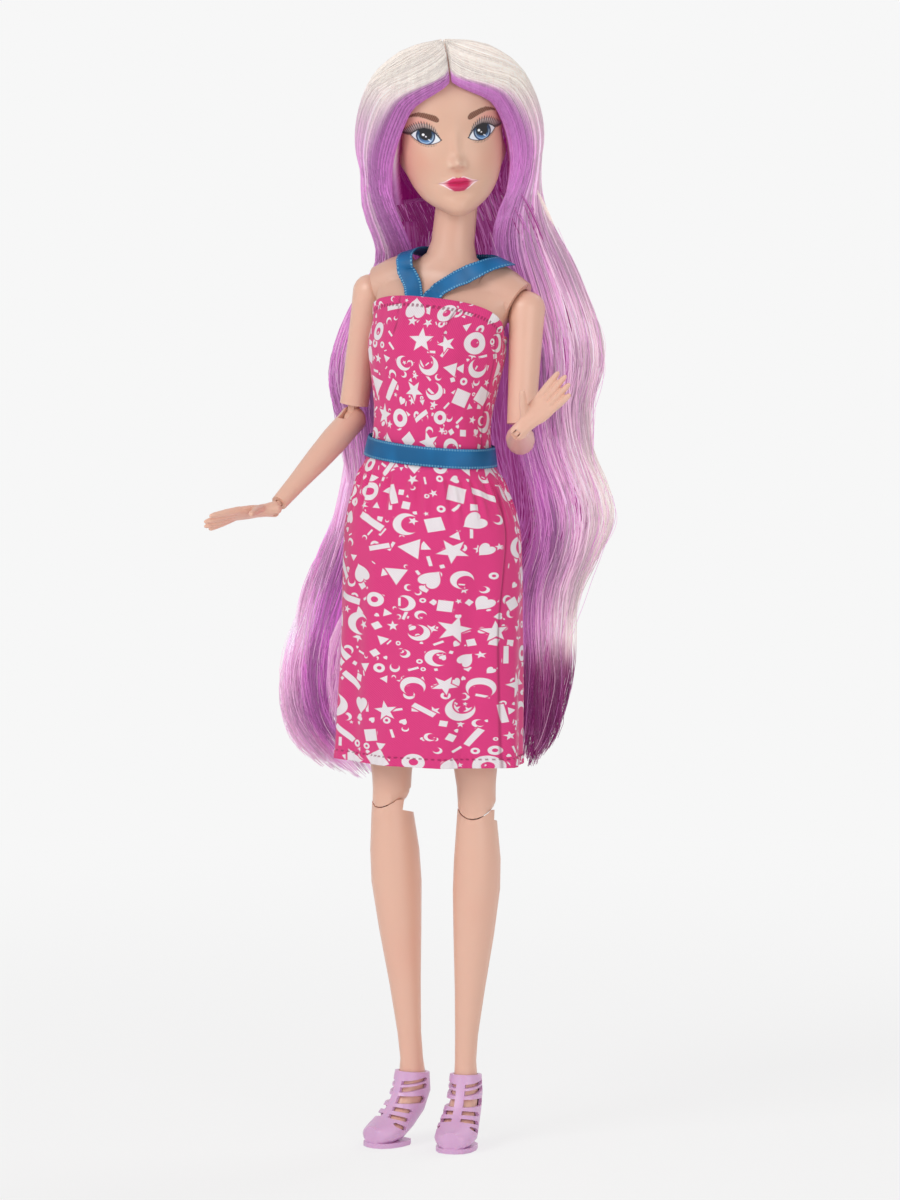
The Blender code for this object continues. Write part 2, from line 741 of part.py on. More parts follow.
def make_torso(torso_frame, neck_frame):
    """The torso and neck, moulded as a front and a back shell that meet on one flat seam."""
    cutters = torso_cutters(torso_frame) + neck_cutters(neck_frame)
    barrels = []
    for side in (-1, 1):
        place = shoulder_matrix(side) @ along_x(side)
        profile = [
            (BARREL_RADIUS, -RIM_INSET - BARREL_LENGTH),
            (BARREL_RADIUS, -RIM_INSET - BARREL_LENGTH / 2),
            (RIM_RADIUS, -RIM_INSET),
            (RIM_RADIUS, -RIM_INSET + GAP),
        ]
        barrels.append(helper("shoulder_barrel", turned(profile, 20, place), torso_frame))
    reach = 2 * TORSO_RISE
    halves = (
        ("torso_front", (-reach, -reach, -reach), (reach, SEAM_Y - SEAM_GAP / 2, reach)),
        ("torso_back", (-reach, SEAM_Y + SEAM_GAP / 2, -reach), (reach, reach, reach)),
    )
    top = NECK_TOP / TORSO_RISE
    shares = [row[0] for row in torso_rows() if row[0] < top] + [top]
    for name, low, high in halves:
        rings = [torso_ring(share) for share in shares]
        piece = solid(name, loft(rings), torso_frame, SKIN)
        for barrel in barrels:
            boolean(piece, barrel, "UNION")
        for cutter in cutters:
            boolean(piece, cutter)
        boolean(piece, helper(name + "_half", box(low, high), torso_frame), "INTERSECT")


def make_neck_knob(neck_frame, knob_frame):
    """The knob that the head turns on, with its eye on a pin across the neck."""
    eye = tongue_outline(KNOB_EYE_RADIUS, KNOB_STEM_RADIUS, KNOB_STEM_LENGTH / 2, 180)
    knob = solid("neck_knob", prism(eye, "X", KNOB_EYE_WIDTH / 2), knob_frame, SKIN)
    top = KNOB_STEM_LENGTH
    profile = [
        (KNOB_STEM_RADIUS, KNOB_EYE_RADIUS + GAP),
        (KNOB_STEM_RADIUS, top),
        (KNOB_CAP_RADIUS, top),
        (KNOB_CAP_RADIUS, top + KNOB_CAP_HEIGHT / 2),
        (KNOB_STEM_RADIUS, top + KNOB_CAP_HEIGHT),
    ]
    boolean(knob, helper("knob_cap", turned(profile, LIMB_SIDES), knob_frame), "UNION")
    hole = pin(None, None, ELBOW_PIN_RADIUS + PIN_CLEARANCE, KNOB_EYE_WIDTH)
    boolean(knob, helper("knob_hole", hole, knob_frame))
    pin("neck_pin", neck_frame, ELBOW_PIN_RADIUS, NECK_RADIUS - 4 * GAP)


HEAD_TABLE = refined(HEAD_SHARES, 4)


def head_ring(share, out=0.0, sides=HEAD_SIDES, crowd=0.45):
    """A ring of the head, or of a form so far out from it, with its points crowded towards the face."""
    table = HEAD_TABLE
    values = [float(np.interp(share, table[:, 0], table[:, column])) for column in (1, 2, 3, 4)]
    ring = round_ring(
        sides,
        values[0] * HEAD_HALF_WIDTH + out,
        values[1] * HEAD_HALF_DEPTH - out,
        values[2] * HEAD_HALF_DEPTH + out,
        values[3],
        crowd,
    )
    z = CHIN_RISE + share * HEAD_HEIGHT
    points = []
    for x, y in ring:
        forward = 0.0
        if y < 0:
            for across, up, spread, tall, size in FACE_SHARES:
                near = ((x / HEAD_HALF_WIDTH - across) / spread) ** 2 + ((share - up) / tall) ** 2
                forward += size * NOSE_SIZE * math.exp(-near)
        points.append((x, y - forward, z))
    return points


def make_head(head_frame):
    """The head, with a face in low relief, a socket for the neck and a chamber for the knob."""
    head = solid("head", loft([head_ring(share) for share in HEAD_RING_SHARES]), head_frame, SKIN)
    top = KNOB_STEM_LENGTH
    profile = [
        (NECK_SOCKET_RADIUS, CHIN_RISE - OVERRUN),
        (NECK_SOCKET_RADIUS, NECK_SOCKET_HEIGHT),
        (KNOB_STEM_RADIUS + GAP, NECK_SOCKET_HEIGHT),
        (KNOB_STEM_RADIUS + GAP, top - GAP),
        (KNOB_CAP_RADIUS + GAP, top - GAP),
        (KNOB_CAP_RADIUS + GAP, top + KNOB_CAP_HEIGHT + GAP),
    ]
    boolean(head, helper("neck_socket", turned(profile, 20), head_frame))


def make_arm(side, word, torso_frame, pose):
    """One arm: hub, upper arm, elbow knuckle, forearm, wrist peg and hand, each on its own joint."""
    hub_frame = frame("shoulder_swing_" + word, torso_frame, (side * SHOULDER_X, SEAM_Y, SHOULDER_Z),
                      (("Y", side * RIM_TILT), ("X", -pose["swing"])))
    arm_frame = frame("shoulder_raise_" + word, hub_frame, turns=(("Y", -side * (RIM_TILT + pose["raise"])),))
    knuckle_frame = frame("elbow_swivel_" + word, arm_frame, (0, 0, -UPPER_ARM_LENGTH),
                          (("Z", side * pose["swivel"]),))
    forearm_frame = frame("elbow_bend_" + word, knuckle_frame, turns=(("X", -pose["bend"]),))
    peg_frame = frame("wrist_swivel_" + word, forearm_frame, (0, 0, -FOREARM_LENGTH),
                      (("Z", side * pose["twist"]),))
    hand_frame = frame("wrist_bend_" + word, peg_frame, turns=(("X", -pose["wrist"]),))
    make_hub(side, word, hub_frame, arm_frame)
    make_upper_arm(side, word, arm_frame)
    make_knuckle("elbow_knuckle_" + word, knuckle_frame, ELBOW_TONGUE_RADIUS, ELBOW_TONGUE_WIDTH,
                 ELBOW_RADIUS + SEAM_GAP, ELBOW_STEM_RADIUS, ELBOW_STEM_LENGTH, ELBOW_FLANGE_RADIUS,
                 ELBOW_FLANGE_WIDTH, ELBOW_PIN_RADIUS)
    pin("elbow_pin_" + word, knuckle_frame, ELBOW_PIN_RADIUS, ELBOW_RADIUS - 3 * GAP)
    make_forearm(word, forearm_frame)
    make_knuckle("wrist_peg_" + word, peg_frame, WRIST_TONGUE_RADIUS, WRIST_TONGUE_WIDTH,
                 WRIST_RADIUS + GAP, WRIST_STEM_RADIUS, WRIST_STEM_LENGTH, WRIST_FLANGE_RADIUS,
                 WRIST_FLANGE_WIDTH, WRIST_PIN_RADIUS)
    make_hand(side, word, hand_frame)
    pin("wrist_pin_" + word, peg_frame, WRIST_PIN_RADIUS, WRIST_RADIUS - 2 * GAP)


def make_hub(side, word, hub_frame, arm_frame):
    """The hub that turns in the torso's socket, with the eye that the arm is raised on."""
    inward = 270 if side > 0 else 90
    neck = HUB_SHAFT_RADIUS * 0.8
    eye = tongue_outline(HUB_TONGUE_RADIUS, neck, SHOULDER_CUP + OVERRUN, inward)
    hub = solid("shoulder_hub_" + word, prism(eye, "Y", HUB_TONGUE_WIDTH / 2), hub_frame, SKIN)
    inner = -SHOULDER_CUP - HUB_SHAFT_LENGTH
    profile = [
        (HUB_FLANGE_RADIUS, inner - HUB_FLANGE_WIDTH),
        (HUB_FLANGE_RADIUS, inner),
        (HUB_SHAFT_RADIUS, inner),
        (HUB_SHAFT_RADIUS, -SHOULDER_CUP),
    ]
    shaft = helper("hub_shaft", turned(profile, LIMB_SIDES, along_x(side)), hub_frame)
    boolean(hub, shaft, "UNION")
    hole = pin(None, None, ELBOW_PIN_RADIUS + PIN_CLEARANCE, HUB_TONGUE_WIDTH, "Z")
    boolean(hub, helper("hub_hole", hole, hub_frame))
    pin("shoulder_pin_" + word, arm_frame, ELBOW_PIN_RADIUS, SHOULDER_BALL - 3 * GAP, "Z")


def make_upper_arm(side, word, arm_frame):
    end = UPPER_ARM_LENGTH - ELBOW_RADIUS - SEAM_GAP
    rings = rings_of(ball_cap(SHOULDER_BALL, 10, 80, 4))
    rings += limb_rings(UPPER_ARM_SHARES, UPPER_ARM_RADIUS, 0.0, end)
    arm = solid("upper_arm_" + word, loft(rings), arm_frame, SKIN)
    if side > 0:
        outline = slot_outline(HUB_TONGUE_RADIUS + GAP, 2 * SHOULDER_BALL, 139, 273)
    else:
        outline = slot_outline(HUB_TONGUE_RADIUS + GAP, 2 * SHOULDER_BALL, 87, 221)
    slot = prism(outline, "Y", HUB_TONGUE_WIDTH / 2 + GAP)
    boolean(arm, helper("arm_slot", slot, arm_frame))
    hole = pin(None, None, ELBOW_PIN_RADIUS + PIN_CLEARANCE, SHOULDER_BALL - 2 * GAP, "Z")
    boolean(arm, helper("arm_pin_hole", hole, arm_frame))
    elbow = Matrix.Translation(Vector((0, 0, -UPPER_ARM_LENGTH)))
    bore = stem_bore(ELBOW_RADIUS + SEAM_GAP, ELBOW_STEM_RADIUS, ELBOW_STEM_LENGTH,
                     ELBOW_FLANGE_RADIUS, ELBOW_FLANGE_WIDTH, elbow)
    boolean(arm, helper("elbow_bore", bore, arm_frame))


def stem_bore(face, stem, length, flange, flange_width, matrix):
    """The cutter for a swivel stem and its flange, from a face at a height above the hinge."""
    profile = [
        (stem + GAP, face - OVERRUN),
        (stem + GAP, face + length - GAP),
        (flange + GAP, face + length - GAP),
        (flange + GAP, face + length + flange_width + GAP),
    ]
    return turned(profile, LIMB_SIDES, matrix)


def make_knuckle(name, parent, eye_radius, eye_width, face, stem, length, flange, flange_width, pin_radius):
    """A hinge eye on a swivel stem: the eye turns on a pin, the stem in the limb above."""
    eye = tongue_outline(eye_radius, stem, face, 180)
    knuckle = solid(name, prism(eye, "X", eye_width / 2), parent, SKIN)
    profile = [
        (stem, eye_radius + GAP),
        (stem, face + length),
        (flange, face + length),
        (flange, face + length + flange_width),
    ]
    boolean(knuckle, helper(name + "_stem", turned(profile, 12), parent), "UNION")
    hole = pin(None, None, pin_radius + PIN_CLEARANCE, eye_width)
    boolean(knuckle, helper(name + "_hole", hole, parent))


def make_forearm(word, forearm_frame):
    end = FOREARM_LENGTH - WRIST_RADIUS - GAP
    rings = rings_of(ball_cap(ELBOW_RADIUS, 8, 76, 4))
    rings += limb_rings(FOREARM_SHARES, FOREARM_RADIUS, ELBOW_RADIUS / 2, end)
    arm = solid("forearm_" + word, loft(rings), forearm_frame, SKIN)
    outline = slot_outline(ELBOW_TONGUE_RADIUS + GAP, 2 * ELBOW_RADIUS, 145, 315)
    slot = prism(outline, "X", ELBOW_TONGUE_WIDTH / 2 + GAP)
    boolean(arm, helper("forearm_slot", slot, forearm_frame))
    hole = pin(None, None, ELBOW_PIN_RADIUS + PIN_CLEARANCE, ELBOW_RADIUS - 2 * GAP)
    boolean(arm, helper("forearm_pin_hole", hole, forearm_frame))
    wrist = Matrix.Translation(Vector((0, 0, -FOREARM_LENGTH)))
    bore = stem_bore(WRIST_RADIUS + GAP, WRIST_STEM_RADIUS, WRIST_STEM_LENGTH,
                     WRIST_FLANGE_RADIUS, WRIST_FLANGE_WIDTH, wrist)
    boolean(arm, helper("wrist_bore", bore, forearm_frame))


def finger(length, radius, base, turns):
    """A tapering finger with a round tip, turned and set on the palm."""
    matrix = Matrix.Translation(Vector(base))
    for axis, degrees in turns:
        matrix = matrix @ Matrix.Rotation(math.radians(degrees), 4, axis)
    shares = ((0.0, 1.05), (0.45, 1.05), (0.85, 0.82), (0.96, 0.60), (1.0, 0.25))
    shape = turned([(radius * width, -length * share) for share, width in shares], 6)
    bmesh.ops.transform(shape, matrix=matrix, verts=shape.verts)
    return shape


def make_hand(side, word, hand_frame):
    """The hand: a palm on the wrist's ball, four fingers and a thumb."""
    shares = (
        (0.10, 0.62, 1.20),
        (0.22, 0.72, 1.02),
        (0.34, 0.94, 1.00),
        (0.46, 1.00, 0.92),
        (0.56, 0.94, 0.78),
    )
    rings = rings_of(ball_cap(WRIST_RADIUS, 12, 78, 3), 12)
    for share, width, depth in shares:
        ring = round_ring(12, width * PALM_HALF_WIDTH, -depth * PALM_HALF_DEPTH, depth * PALM_HALF_DEPTH, 2.3)
        rings.append([(x, y, -share * HAND_LENGTH) for x, y in ring])
    hand = solid("hand_" + word, loft(rings), hand_frame, SKIN)
    for number, (across, length, spread) in enumerate(FINGER_SHARES):
        base = (-side * across * PALM_HALF_WIDTH, 0, -0.50 * HAND_LENGTH)
        shape = finger(0.50 * HAND_LENGTH * length, FINGER_RADIUS, base,
                       (("Y", side * spread), ("X", 6 + 3 * number)))
        boolean(hand, helper(f"finger_{number}", shape, hand_frame), "UNION")
    base = (-side * 0.5 * PALM_HALF_WIDTH, 0, -0.20 * HAND_LENGTH)
    thumb = finger(0.40 * HAND_LENGTH, 1.15 * FINGER_RADIUS, base, (("Y", side * 38), ("X", 24)))
    boolean(hand, helper("thumb", thumb, hand_frame), "UNION")
    outline = slot_outline(WRIST_TONGUE_RADIUS + GAP, 2 * WRIST_RADIUS, 72, 292)
    boolean(hand, helper("hand_slot", prism(outline, "X", WRIST_TONGUE_WIDTH / 2 + GAP), hand_frame))
    hole = pin(None, None, WRIST_PIN_RADIUS + PIN_CLEARANCE, WRIST_RADIUS - GAP)
    boolean(hand, helper("hand_pin_hole", hole, hand_frame))


def make_hips(torso_frame):
    """The axle that both legs sit and stand on, carried in the bridge between the leg openings."""
    axle_frame = frame("hip_sit", torso_frame, (0, SEAM_Y, HIP_Z), (("X", HIP_BACK),))
    half = CROTCH_HALF_WIDTH + 2 * GAP
    across = along_x(1)
    axle = solid("hip_axle", turned([(AXLE_RADIUS, -half), (AXLE_RADIUS, half)], 20, across), axle_frame, SKIN)
    bore = AXLE_STEM_RADIUS + PIN_CLEARANCE
    for side in (-1, 1):
        stem = turned([(bore, GAP), (bore, half + OVERRUN)], 12, along_x(side))
        boolean(axle, helper("stem_bore", stem, axle_frame))
    return axle_frame


def make_leg(side, word, axle_frame, pose):
    """One leg: hip disc, hip piece, thigh, lower leg with its foot, and the shoe."""
    disc_frame = frame("hip_stride_" + word, axle_frame)
    hip_frame = frame("hip_splay_" + word, disc_frame, (side * HIP_X, 0, 0), (("Y", -side * pose["splay"]),))
    thigh_frame = frame("thigh_swivel_" + word, hip_frame, turns=(("Z", side * pose["swivel"]),))
    knee_frame = frame("knee_bend_" + word, thigh_frame, (0, 0, -THIGH_LENGTH))
    shin_frame = upright("shin_" + word, knee_frame)
    drop = SOLE_DROP + shin_frame.matrix_world.translation.z
    make_hip_disc(side, word, disc_frame, hip_frame)
    make_hip_piece(side, word, hip_frame)
    make_thigh(word, thigh_frame, knee_frame)
    make_calf(side, word, knee_frame, shin_frame, drop)
    make_shoe(side, word, shin_frame, drop)


def make_hip_disc(side, word, disc_frame, hip_frame):
    """The disc on the axle's end, with the eye that the thigh is spread on."""
    start = CROTCH_HALF_WIDTH + 3 * GAP
    face = start + HIP_DISC_WIDTH
    eye = tongue_outline(HIP_TONGUE_RADIUS, AXLE_STEM_RADIUS, HIP_X - face + GAP, 270 if side > 0 else 90)
    shape = prism(eye, "Y", HIP_TONGUE_WIDTH / 2)
    bmesh.ops.translate(shape, vec=Vector((side * HIP_X, 0, 0)), verts=shape.verts)
    disc = solid("hip_disc_" + word, shape, disc_frame, SKIN)
    profile = [
        (AXLE_STEM_RADIUS, 3 * GAP),
        (AXLE_STEM_RADIUS, start),
        (HIP_DISC_RADIUS, start),
        (HIP_DISC_RADIUS, face),
        (AXLE_STEM_RADIUS, face),
        (AXLE_STEM_RADIUS, face + OVERRUN),
    ]
    boolean(disc, helper("disc_stem", turned(profile, 14, along_x(side)), disc_frame), "UNION")
    hole = pin(None, None, HIP_PIN_RADIUS + PIN_CLEARANCE, HIP_TONGUE_WIDTH, "Z")
    bmesh.ops.translate(hole, vec=Vector((side * HIP_X, 0, 0)), verts=hole.verts)
    boolean(disc, helper("disc_hole", hole, disc_frame))
    pin("hip_pin_" + word, hip_frame, HIP_PIN_RADIUS, HIP_BALL - 5 * GAP, "Z")


def make_hip_piece(side, word, hip_frame):
    """The ball at the top of the thigh, flat on its inner side, with the bore for the thigh's peg."""
    rings = rings_of(ball_cap(HIP_BALL, 8, 82, 4), LIMB_SIDES)
    rings += limb_rings(((0.3, 1.04, 1.06, 0, 0), (1.0, 1.02, 1.04, 0, 0)), THIGH_RADIUS, 0.0, THIGH_CUT)
    piece = solid("hip_ball_" + word, loft(rings), hip_frame, SKIN)
    reach = 2 * HIP_BALL
    low = (-reach if side > 0 else HIP_FLAT, -reach, -reach)
    high = (-HIP_FLAT if side > 0 else reach, reach, reach)
    boolean(piece, helper("hip_flat", box(low, high), hip_frame))
    middle = 270 if side > 0 else 90
    outline = slot_outline(HIP_TONGUE_RADIUS + GAP, 2 * HIP_BALL, middle - 42, middle + 42)
    boolean(piece, helper("hip_slot", prism(outline, "Y", HIP_TONGUE_WIDTH / 2 + GAP), hip_frame))
    hole = pin(None, None, HIP_PIN_RADIUS + PIN_CLEARANCE, HIP_BALL - 4 * GAP, "Z")
    boolean(piece, helper("hip_pin_hole", hole, hip_frame))
    top = -THIGH_CUT + THIGH_PEG_LENGTH
    profile = [
        (THIGH_PEG_RADIUS + GAP, -THIGH_CUT - OVERRUN),
        (THIGH_PEG_RADIUS + GAP, top - GAP),
        (THIGH_FLANGE_RADIUS + GAP, top - GAP),
        (THIGH_FLANGE_RADIUS + GAP, top + THIGH_FLANGE_WIDTH + GAP),
    ]
    boolean(piece, helper("peg_bore", turned(profile, 14), hip_frame))


def knee_outline(radius, width, height):
    """The knee's U from the front, open at the top to a width at a height, as (X, Z) points."""
    points = []
    for i in range(13):
        turn = math.pi + math.pi * i / 12
        points.append((radius * math.cos(turn), KNEE_RISE + radius * math.sin(turn)))
    return points + [(width, height), (-width, height)]


def make_thigh(word, thigh_frame, knee_frame):
    """The thigh, with the peg that it turns on and the rounded knee end that the calf bends on."""
    start = THIGH_CUT + SEAM_GAP
    rings = limb_rings(THIGH_SHARES, THIGH_RADIUS, start, THIGH_LENGTH)
    thigh = solid("thigh_" + word, loft(rings), thigh_frame, SKIN)
    top = -THIGH_CUT + THIGH_PEG_LENGTH
    profile = [
        (THIGH_PEG_RADIUS, -start - OVERRUN),
        (THIGH_PEG_RADIUS, top),
        (THIGH_FLANGE_RADIUS, top),
        (THIGH_FLANGE_RADIUS, top + THIGH_FLANGE_WIDTH),
    ]
    boolean(thigh, helper("thigh_peg", turned(profile, 12), thigh_frame), "UNION")
    reach = 2 * THIGH_RADIUS
    outline = knee_outline(KNEE_RADIUS, THIGH_LENGTH, THIGH_LENGTH + reach)
    boolean(thigh, helper("knee_end", prism(outline, "Y", reach), knee_frame), "INTERSECT")
    boolean(thigh, helper("knee_back", box((-reach, 0, -reach), (reach, reach, 0)), knee_frame))
    tip = KNEE_RADIUS - GAP
    across = [tip * share for share in (-1, -0.85, -0.6, -0.3, 0, 0.3, 0.6, 0.85, 1)]
    round_end = [(math.sqrt(KNEE_RADIUS**2 - x**2) - KNEE_RISE - GAP / 6, x) for x in across]
    boolean(thigh, helper("knee_round", turned(round_end, 16, along_x(1)), knee_frame), "UNION")
    slot = prism(slot_outline(KNEE_TONGUE_RADIUS + GAP, 2 * KNEE_RADIUS, -34, 134), "X", KNEE_TONGUE_WIDTH / 2 + GAP)
    boolean(thigh, helper("knee_slot", slot, knee_frame))
    hole = pin(None, None, KNEE_PIN_RADIUS + PIN_CLEARANCE, KNEE_RADIUS - 4 * GAP)
    boolean(thigh, helper("knee_pin_hole", hole, knee_frame))
    knee_pin = pin("knee_pin_" + word, thigh_frame, KNEE_PIN_RADIUS, KNEE_RADIUS - 5 * GAP)
    knee_pin.location = (0, 0, -THIGH_LENGTH)


def foot_rings(side, drop, out=0.0, sides=LIMB_SIDES, steps=2):
    """Sections of the tiptoe foot below the ankle; the drop is the sole's depth below the knee."""
    rings = []
    rows = refined([(i / (len(FOOT_SHARES) - 1), *row) for i, row in enumerate(FOOT_SHARES)], steps)
    for _, forward, up, tilt, half_width, half_thick in rows:
        turn = math.radians(tilt)
        ring = round_ring(sides, half_width * FOOT_RADIUS + out, -(half_thick * FOOT_RADIUS + out),
                          half_thick * FOOT_RADIUS + out, 2.1)
        rings.append(
            [
                (
                    x - side * CALF_SET_IN,
                    forward * FOOT_REACH + y * math.cos(turn),
                    -drop + up * ANKLE_HEIGHT - y * math.sin(turn),
                )
                for x, y in ring
            ]
        )
    return rings


def make_calf(side, word, knee_frame, shin_frame, drop):
    """The lower leg and foot in one, hollowed at the top for the knee, with the knee's tongue."""
    end = drop - ANKLE_HEIGHT
    start = 0.5 * KNEE_RADIUS
    rings = []
    for share, half_width, half_depth, aside, back in refined(CALF_SHARES, 1)[:-1]:
        down = start + (end - start) * share
        ring = round_ring(LIMB_SIDES, half_width * CALF_RADIUS, -half_depth * CALF_RADIUS, half_depth * CALF_RADIUS)
        shift = back * CALF_RADIUS + share**2 * FOOT_SHARES[0][0] * FOOT_REACH
        rings.append([(x - side * aside * CALF_SET_IN, y + shift, -down) for x, y in ring])
    rings += foot_rings(side, drop, steps=1)
    calf = solid("lower_leg_" + word, loft(rings), shin_frame, SKIN)
    reach = 2 * CALF_RADIUS
    outline = knee_outline(KNEE_RADIUS + GAP, KNEE_RADIUS + GAP, reach)
    boolean(calf, helper("knee_bowl", prism(outline, "Y", reach), knee_frame))
    slant = Matrix.Rotation(math.radians(-KNEE_RELIEF_SLANT), 4, "X")
    low, high = (-reach, 0, -KNEE_RELIEF), (reach, reach, reach)
    boolean(calf, helper("knee_relief", box(low, high, slant), knee_frame))
    eye = tongue_outline(KNEE_TONGUE_RADIUS, KNEE_TONGUE_RADIUS * 0.47, 2 * KNEE_RADIUS, 0)
    boolean(calf, helper("knee_tongue", prism(eye, "X", KNEE_TONGUE_WIDTH / 2), knee_frame), "UNION")
    hole = pin(None, None, KNEE_PIN_RADIUS + PIN_CLEARANCE, KNEE_TONGUE_WIDTH)
    boolean(calf, helper("tongue_hole", hole, knee_frame))


def window(front, back, half_height, steps=2):
    """A slot with round ends between two places in the side view, as (Y, Z) points."""
    start, end = Vector(front), Vector(back)
    lie = math.atan2(end.y - start.y, end.x - start.x)
    points = []
    for centre, turn in ((end, -90), (start, 90)):
        for i in range(steps + 1):
            angle = lie + math.radians(turn + 180 * i / steps)
            points.append((centre.x + half_height * math.cos(angle), centre.y + half_height * math.sin(angle)))
    return points


# Shoe windows in the side view: front and rear end of each, forward and up, and half height
WINDOW_SHARES = (
    ((-0.62, 0.275), (-0.42, 0.213), 0.55),
    ((-0.58, 0.360), (-0.30, 0.307), 0.55),
    ((-0.50, 0.445), (-0.16, 0.400), 0.55),
    ((-0.41, 0.540), (0.26, 0.520), 1.00),
    ((-0.33, 0.640), (0.36, 0.680), 0.65),
    ((-0.26, 0.722), (0.38, 0.755), 0.50),
)


def make_shoe(side, word, shin_frame, drop):
    """The openwork shoe: toe cap, centre strap, ribs, fanned straps, ankle collar and counter."""
    inner, outer = GAP, GAP + SHOE_WALL
    covers = foot_rings(side, drop, outer, SHOE_SIDES, steps=1)[1:]
    tip = []
    for x, y, z in covers[-1]:
        middle = -side * CALF_SET_IN
        tip.append((middle + (x - middle) * 0.6, y - outer, z))
    shoe = solid("shoe_" + word, loft(covers + [tip]), shin_frame, LILAC, 0.35)
    sole = sole_outline(side)
    boolean(shoe, helper("shoe_sole", plate(sole, -drop, -drop + SOLE_THICKNESS), shin_frame), "UNION")
    space = foot_rings(side, drop, inner, steps=1)[1:]
    first = [(x, y, z + OVERRUN) for x, y, z in space[0]]
    last = [(-side * CALF_SET_IN + (x + side * CALF_SET_IN) * 0.7, y - inner, z) for x, y, z in space[-1]]
    boolean(shoe, helper("shoe_space", loft([first] + space + [last]), shin_frame))
    for number, (front, back, size) in enumerate(WINDOW_SHARES):
        places = [(y * FOOT_REACH, -drop + z * ANKLE_HEIGHT) for y, z in (front, back)]
        outline = window(places[0], places[1], size * SHOE_WINDOW)
        for way in (-1, 1):
            shape = prism(outline, "X", 2 * FOOT_RADIUS)
            shift = -side * CALF_SET_IN + way * (2 * FOOT_RADIUS + SHOE_STRAP)
            bmesh.ops.translate(shape, vec=Vector((shift, 0, 0)), verts=shape.verts)
            boolean(shoe, helper(f"window_{number}", shape, shin_frame))


def sole_outline(side):
    """The sole's outline from above: round at the toe, narrow under the arch."""
    shares = ((-1.06, 0.30), (-0.98, 0.86), (-0.78, 1.22), (-0.50, 1.36), (-0.20, 1.24), (-0.04, 0.86))
    right = [(width * FOOT_RADIUS, y * FOOT_REACH) for y, width in shares]
    left = [(-x, y) for x, y in reversed(right)]
    return [(x - side * CALF_SET_IN, y) for x, y in right + left]


def plate(outline, low, high):
    """A flat outline of (X, Y) points extruded from one height to another."""
    shape = bmesh.new()
    face = shape.faces.new([shape.verts.new(Vector((x, y, low))) for x, y in outline])
    moved = bmesh.ops.extrude_face_region(shape, geom=[face])["geom"]
    up = Vector((0, 0, high - low))
    bmesh.ops.translate(shape, vec=up, verts=[v for v in moved if isinstance(v, bmesh.types.BMVert)])
    return shape


def make_bodice(torso_frame):
    """The dress bodice: cloth over the torso, cut high in front and lower under the arms."""
    sides, levels = 30, 6

    def edge(degrees):
        turn = math.radians(degrees)
        front = max(0.0, -math.sin(turn)) ** 0.6
        back = max(0.0, math.sin(turn))
        return BODICE_SIDE + (BODICE_FRONT - BODICE_SIDE) * front + (BODICE_BACK - BODICE_SIDE) * back

    def ring(level, out):
        points = []
        for i in range(sides):
            degrees = 360 * i / sides
            z = BODICE_LOW + (edge(degrees) - BODICE_LOW) * level / levels
            section = torso_ring(z / TORSO_RISE, out, sides, z)
            points.append(section[i])
        return points

    inner, outer = GAP + FABRIC / 2, GAP + 1.5 * FABRIC
    rings = [ring(level, outer) for level in range(levels + 1)]
    rings += [ring(level, inner) for level in reversed(range(levels + 1))]
    solid("dress_bodice", loft(rings, closed=True), torso_frame, PINK, 0.8)


def make_skirt(root_frame):
    """The straight skirt, hanging from the waist in a few soft folds, open at the hem."""
    sides = CLOTH_SIDES

    def ring(row, out):
        share, half_width, front, back = row
        points = []
        base = round_ring(sides, half_width * SKIRT_HALF_WIDTH, front * SKIRT_HALF_DEPTH, back * SKIRT_HALF_DEPTH, 2.2)
        for i, (x, y) in enumerate(base):
            turn = 2 * math.pi * i / sides
            fold = FOLD_DEPTH * share * (math.cos(5 * turn + 0.6 + share) + 0.6 * math.sin(8 * turn - 1.4 * share))
            reach = math.hypot(x, y)
            scale = (reach + fold + out) / reach
            tilt = x * math.tan(math.radians(TORSO_LEAN)) + FOLD_DEPTH * max(0.0, -y) / TORSO_HALF_DEPTH
            height = SKIRT_TOP - share * SKIRT_LENGTH - (1 - share) ** 4 * tilt
            points.append((x * scale, y * scale, height))
        return points

    rows = SKIRT_SHARES
    rings = [ring(row, 0.0) for row in reversed(rows)] + [ring(row, -FABRIC) for row in rows]
    solid("dress_skirt", loft(rings, closed=True), root_frame, PINK, 0.8)


def make_belt(torso_frame):
    """The ribbon belt over the waist seam, slightly lower in front."""
    sides = CLOTH_SIDES
    low, high = GAP + 2 * FABRIC + GAP, GAP + 2 * FABRIC + GAP + RIBBON
    rings = []
    for out, level in ((high, -1), (high, 1), (low, 1), (low, -1)):
        z = level * BELT_WIDTH / 2
        section = torso_ring(z / TORSO_RISE, out, sides)
        rings.append([(x, y, z - FOLD_DEPTH * max(0.0, -y) / TORSO_HALF_DEPTH) for x, y, _ in section])
    solid("belt_ribbon", loft(rings, closed=True), torso_frame, BLUE, 0.35)


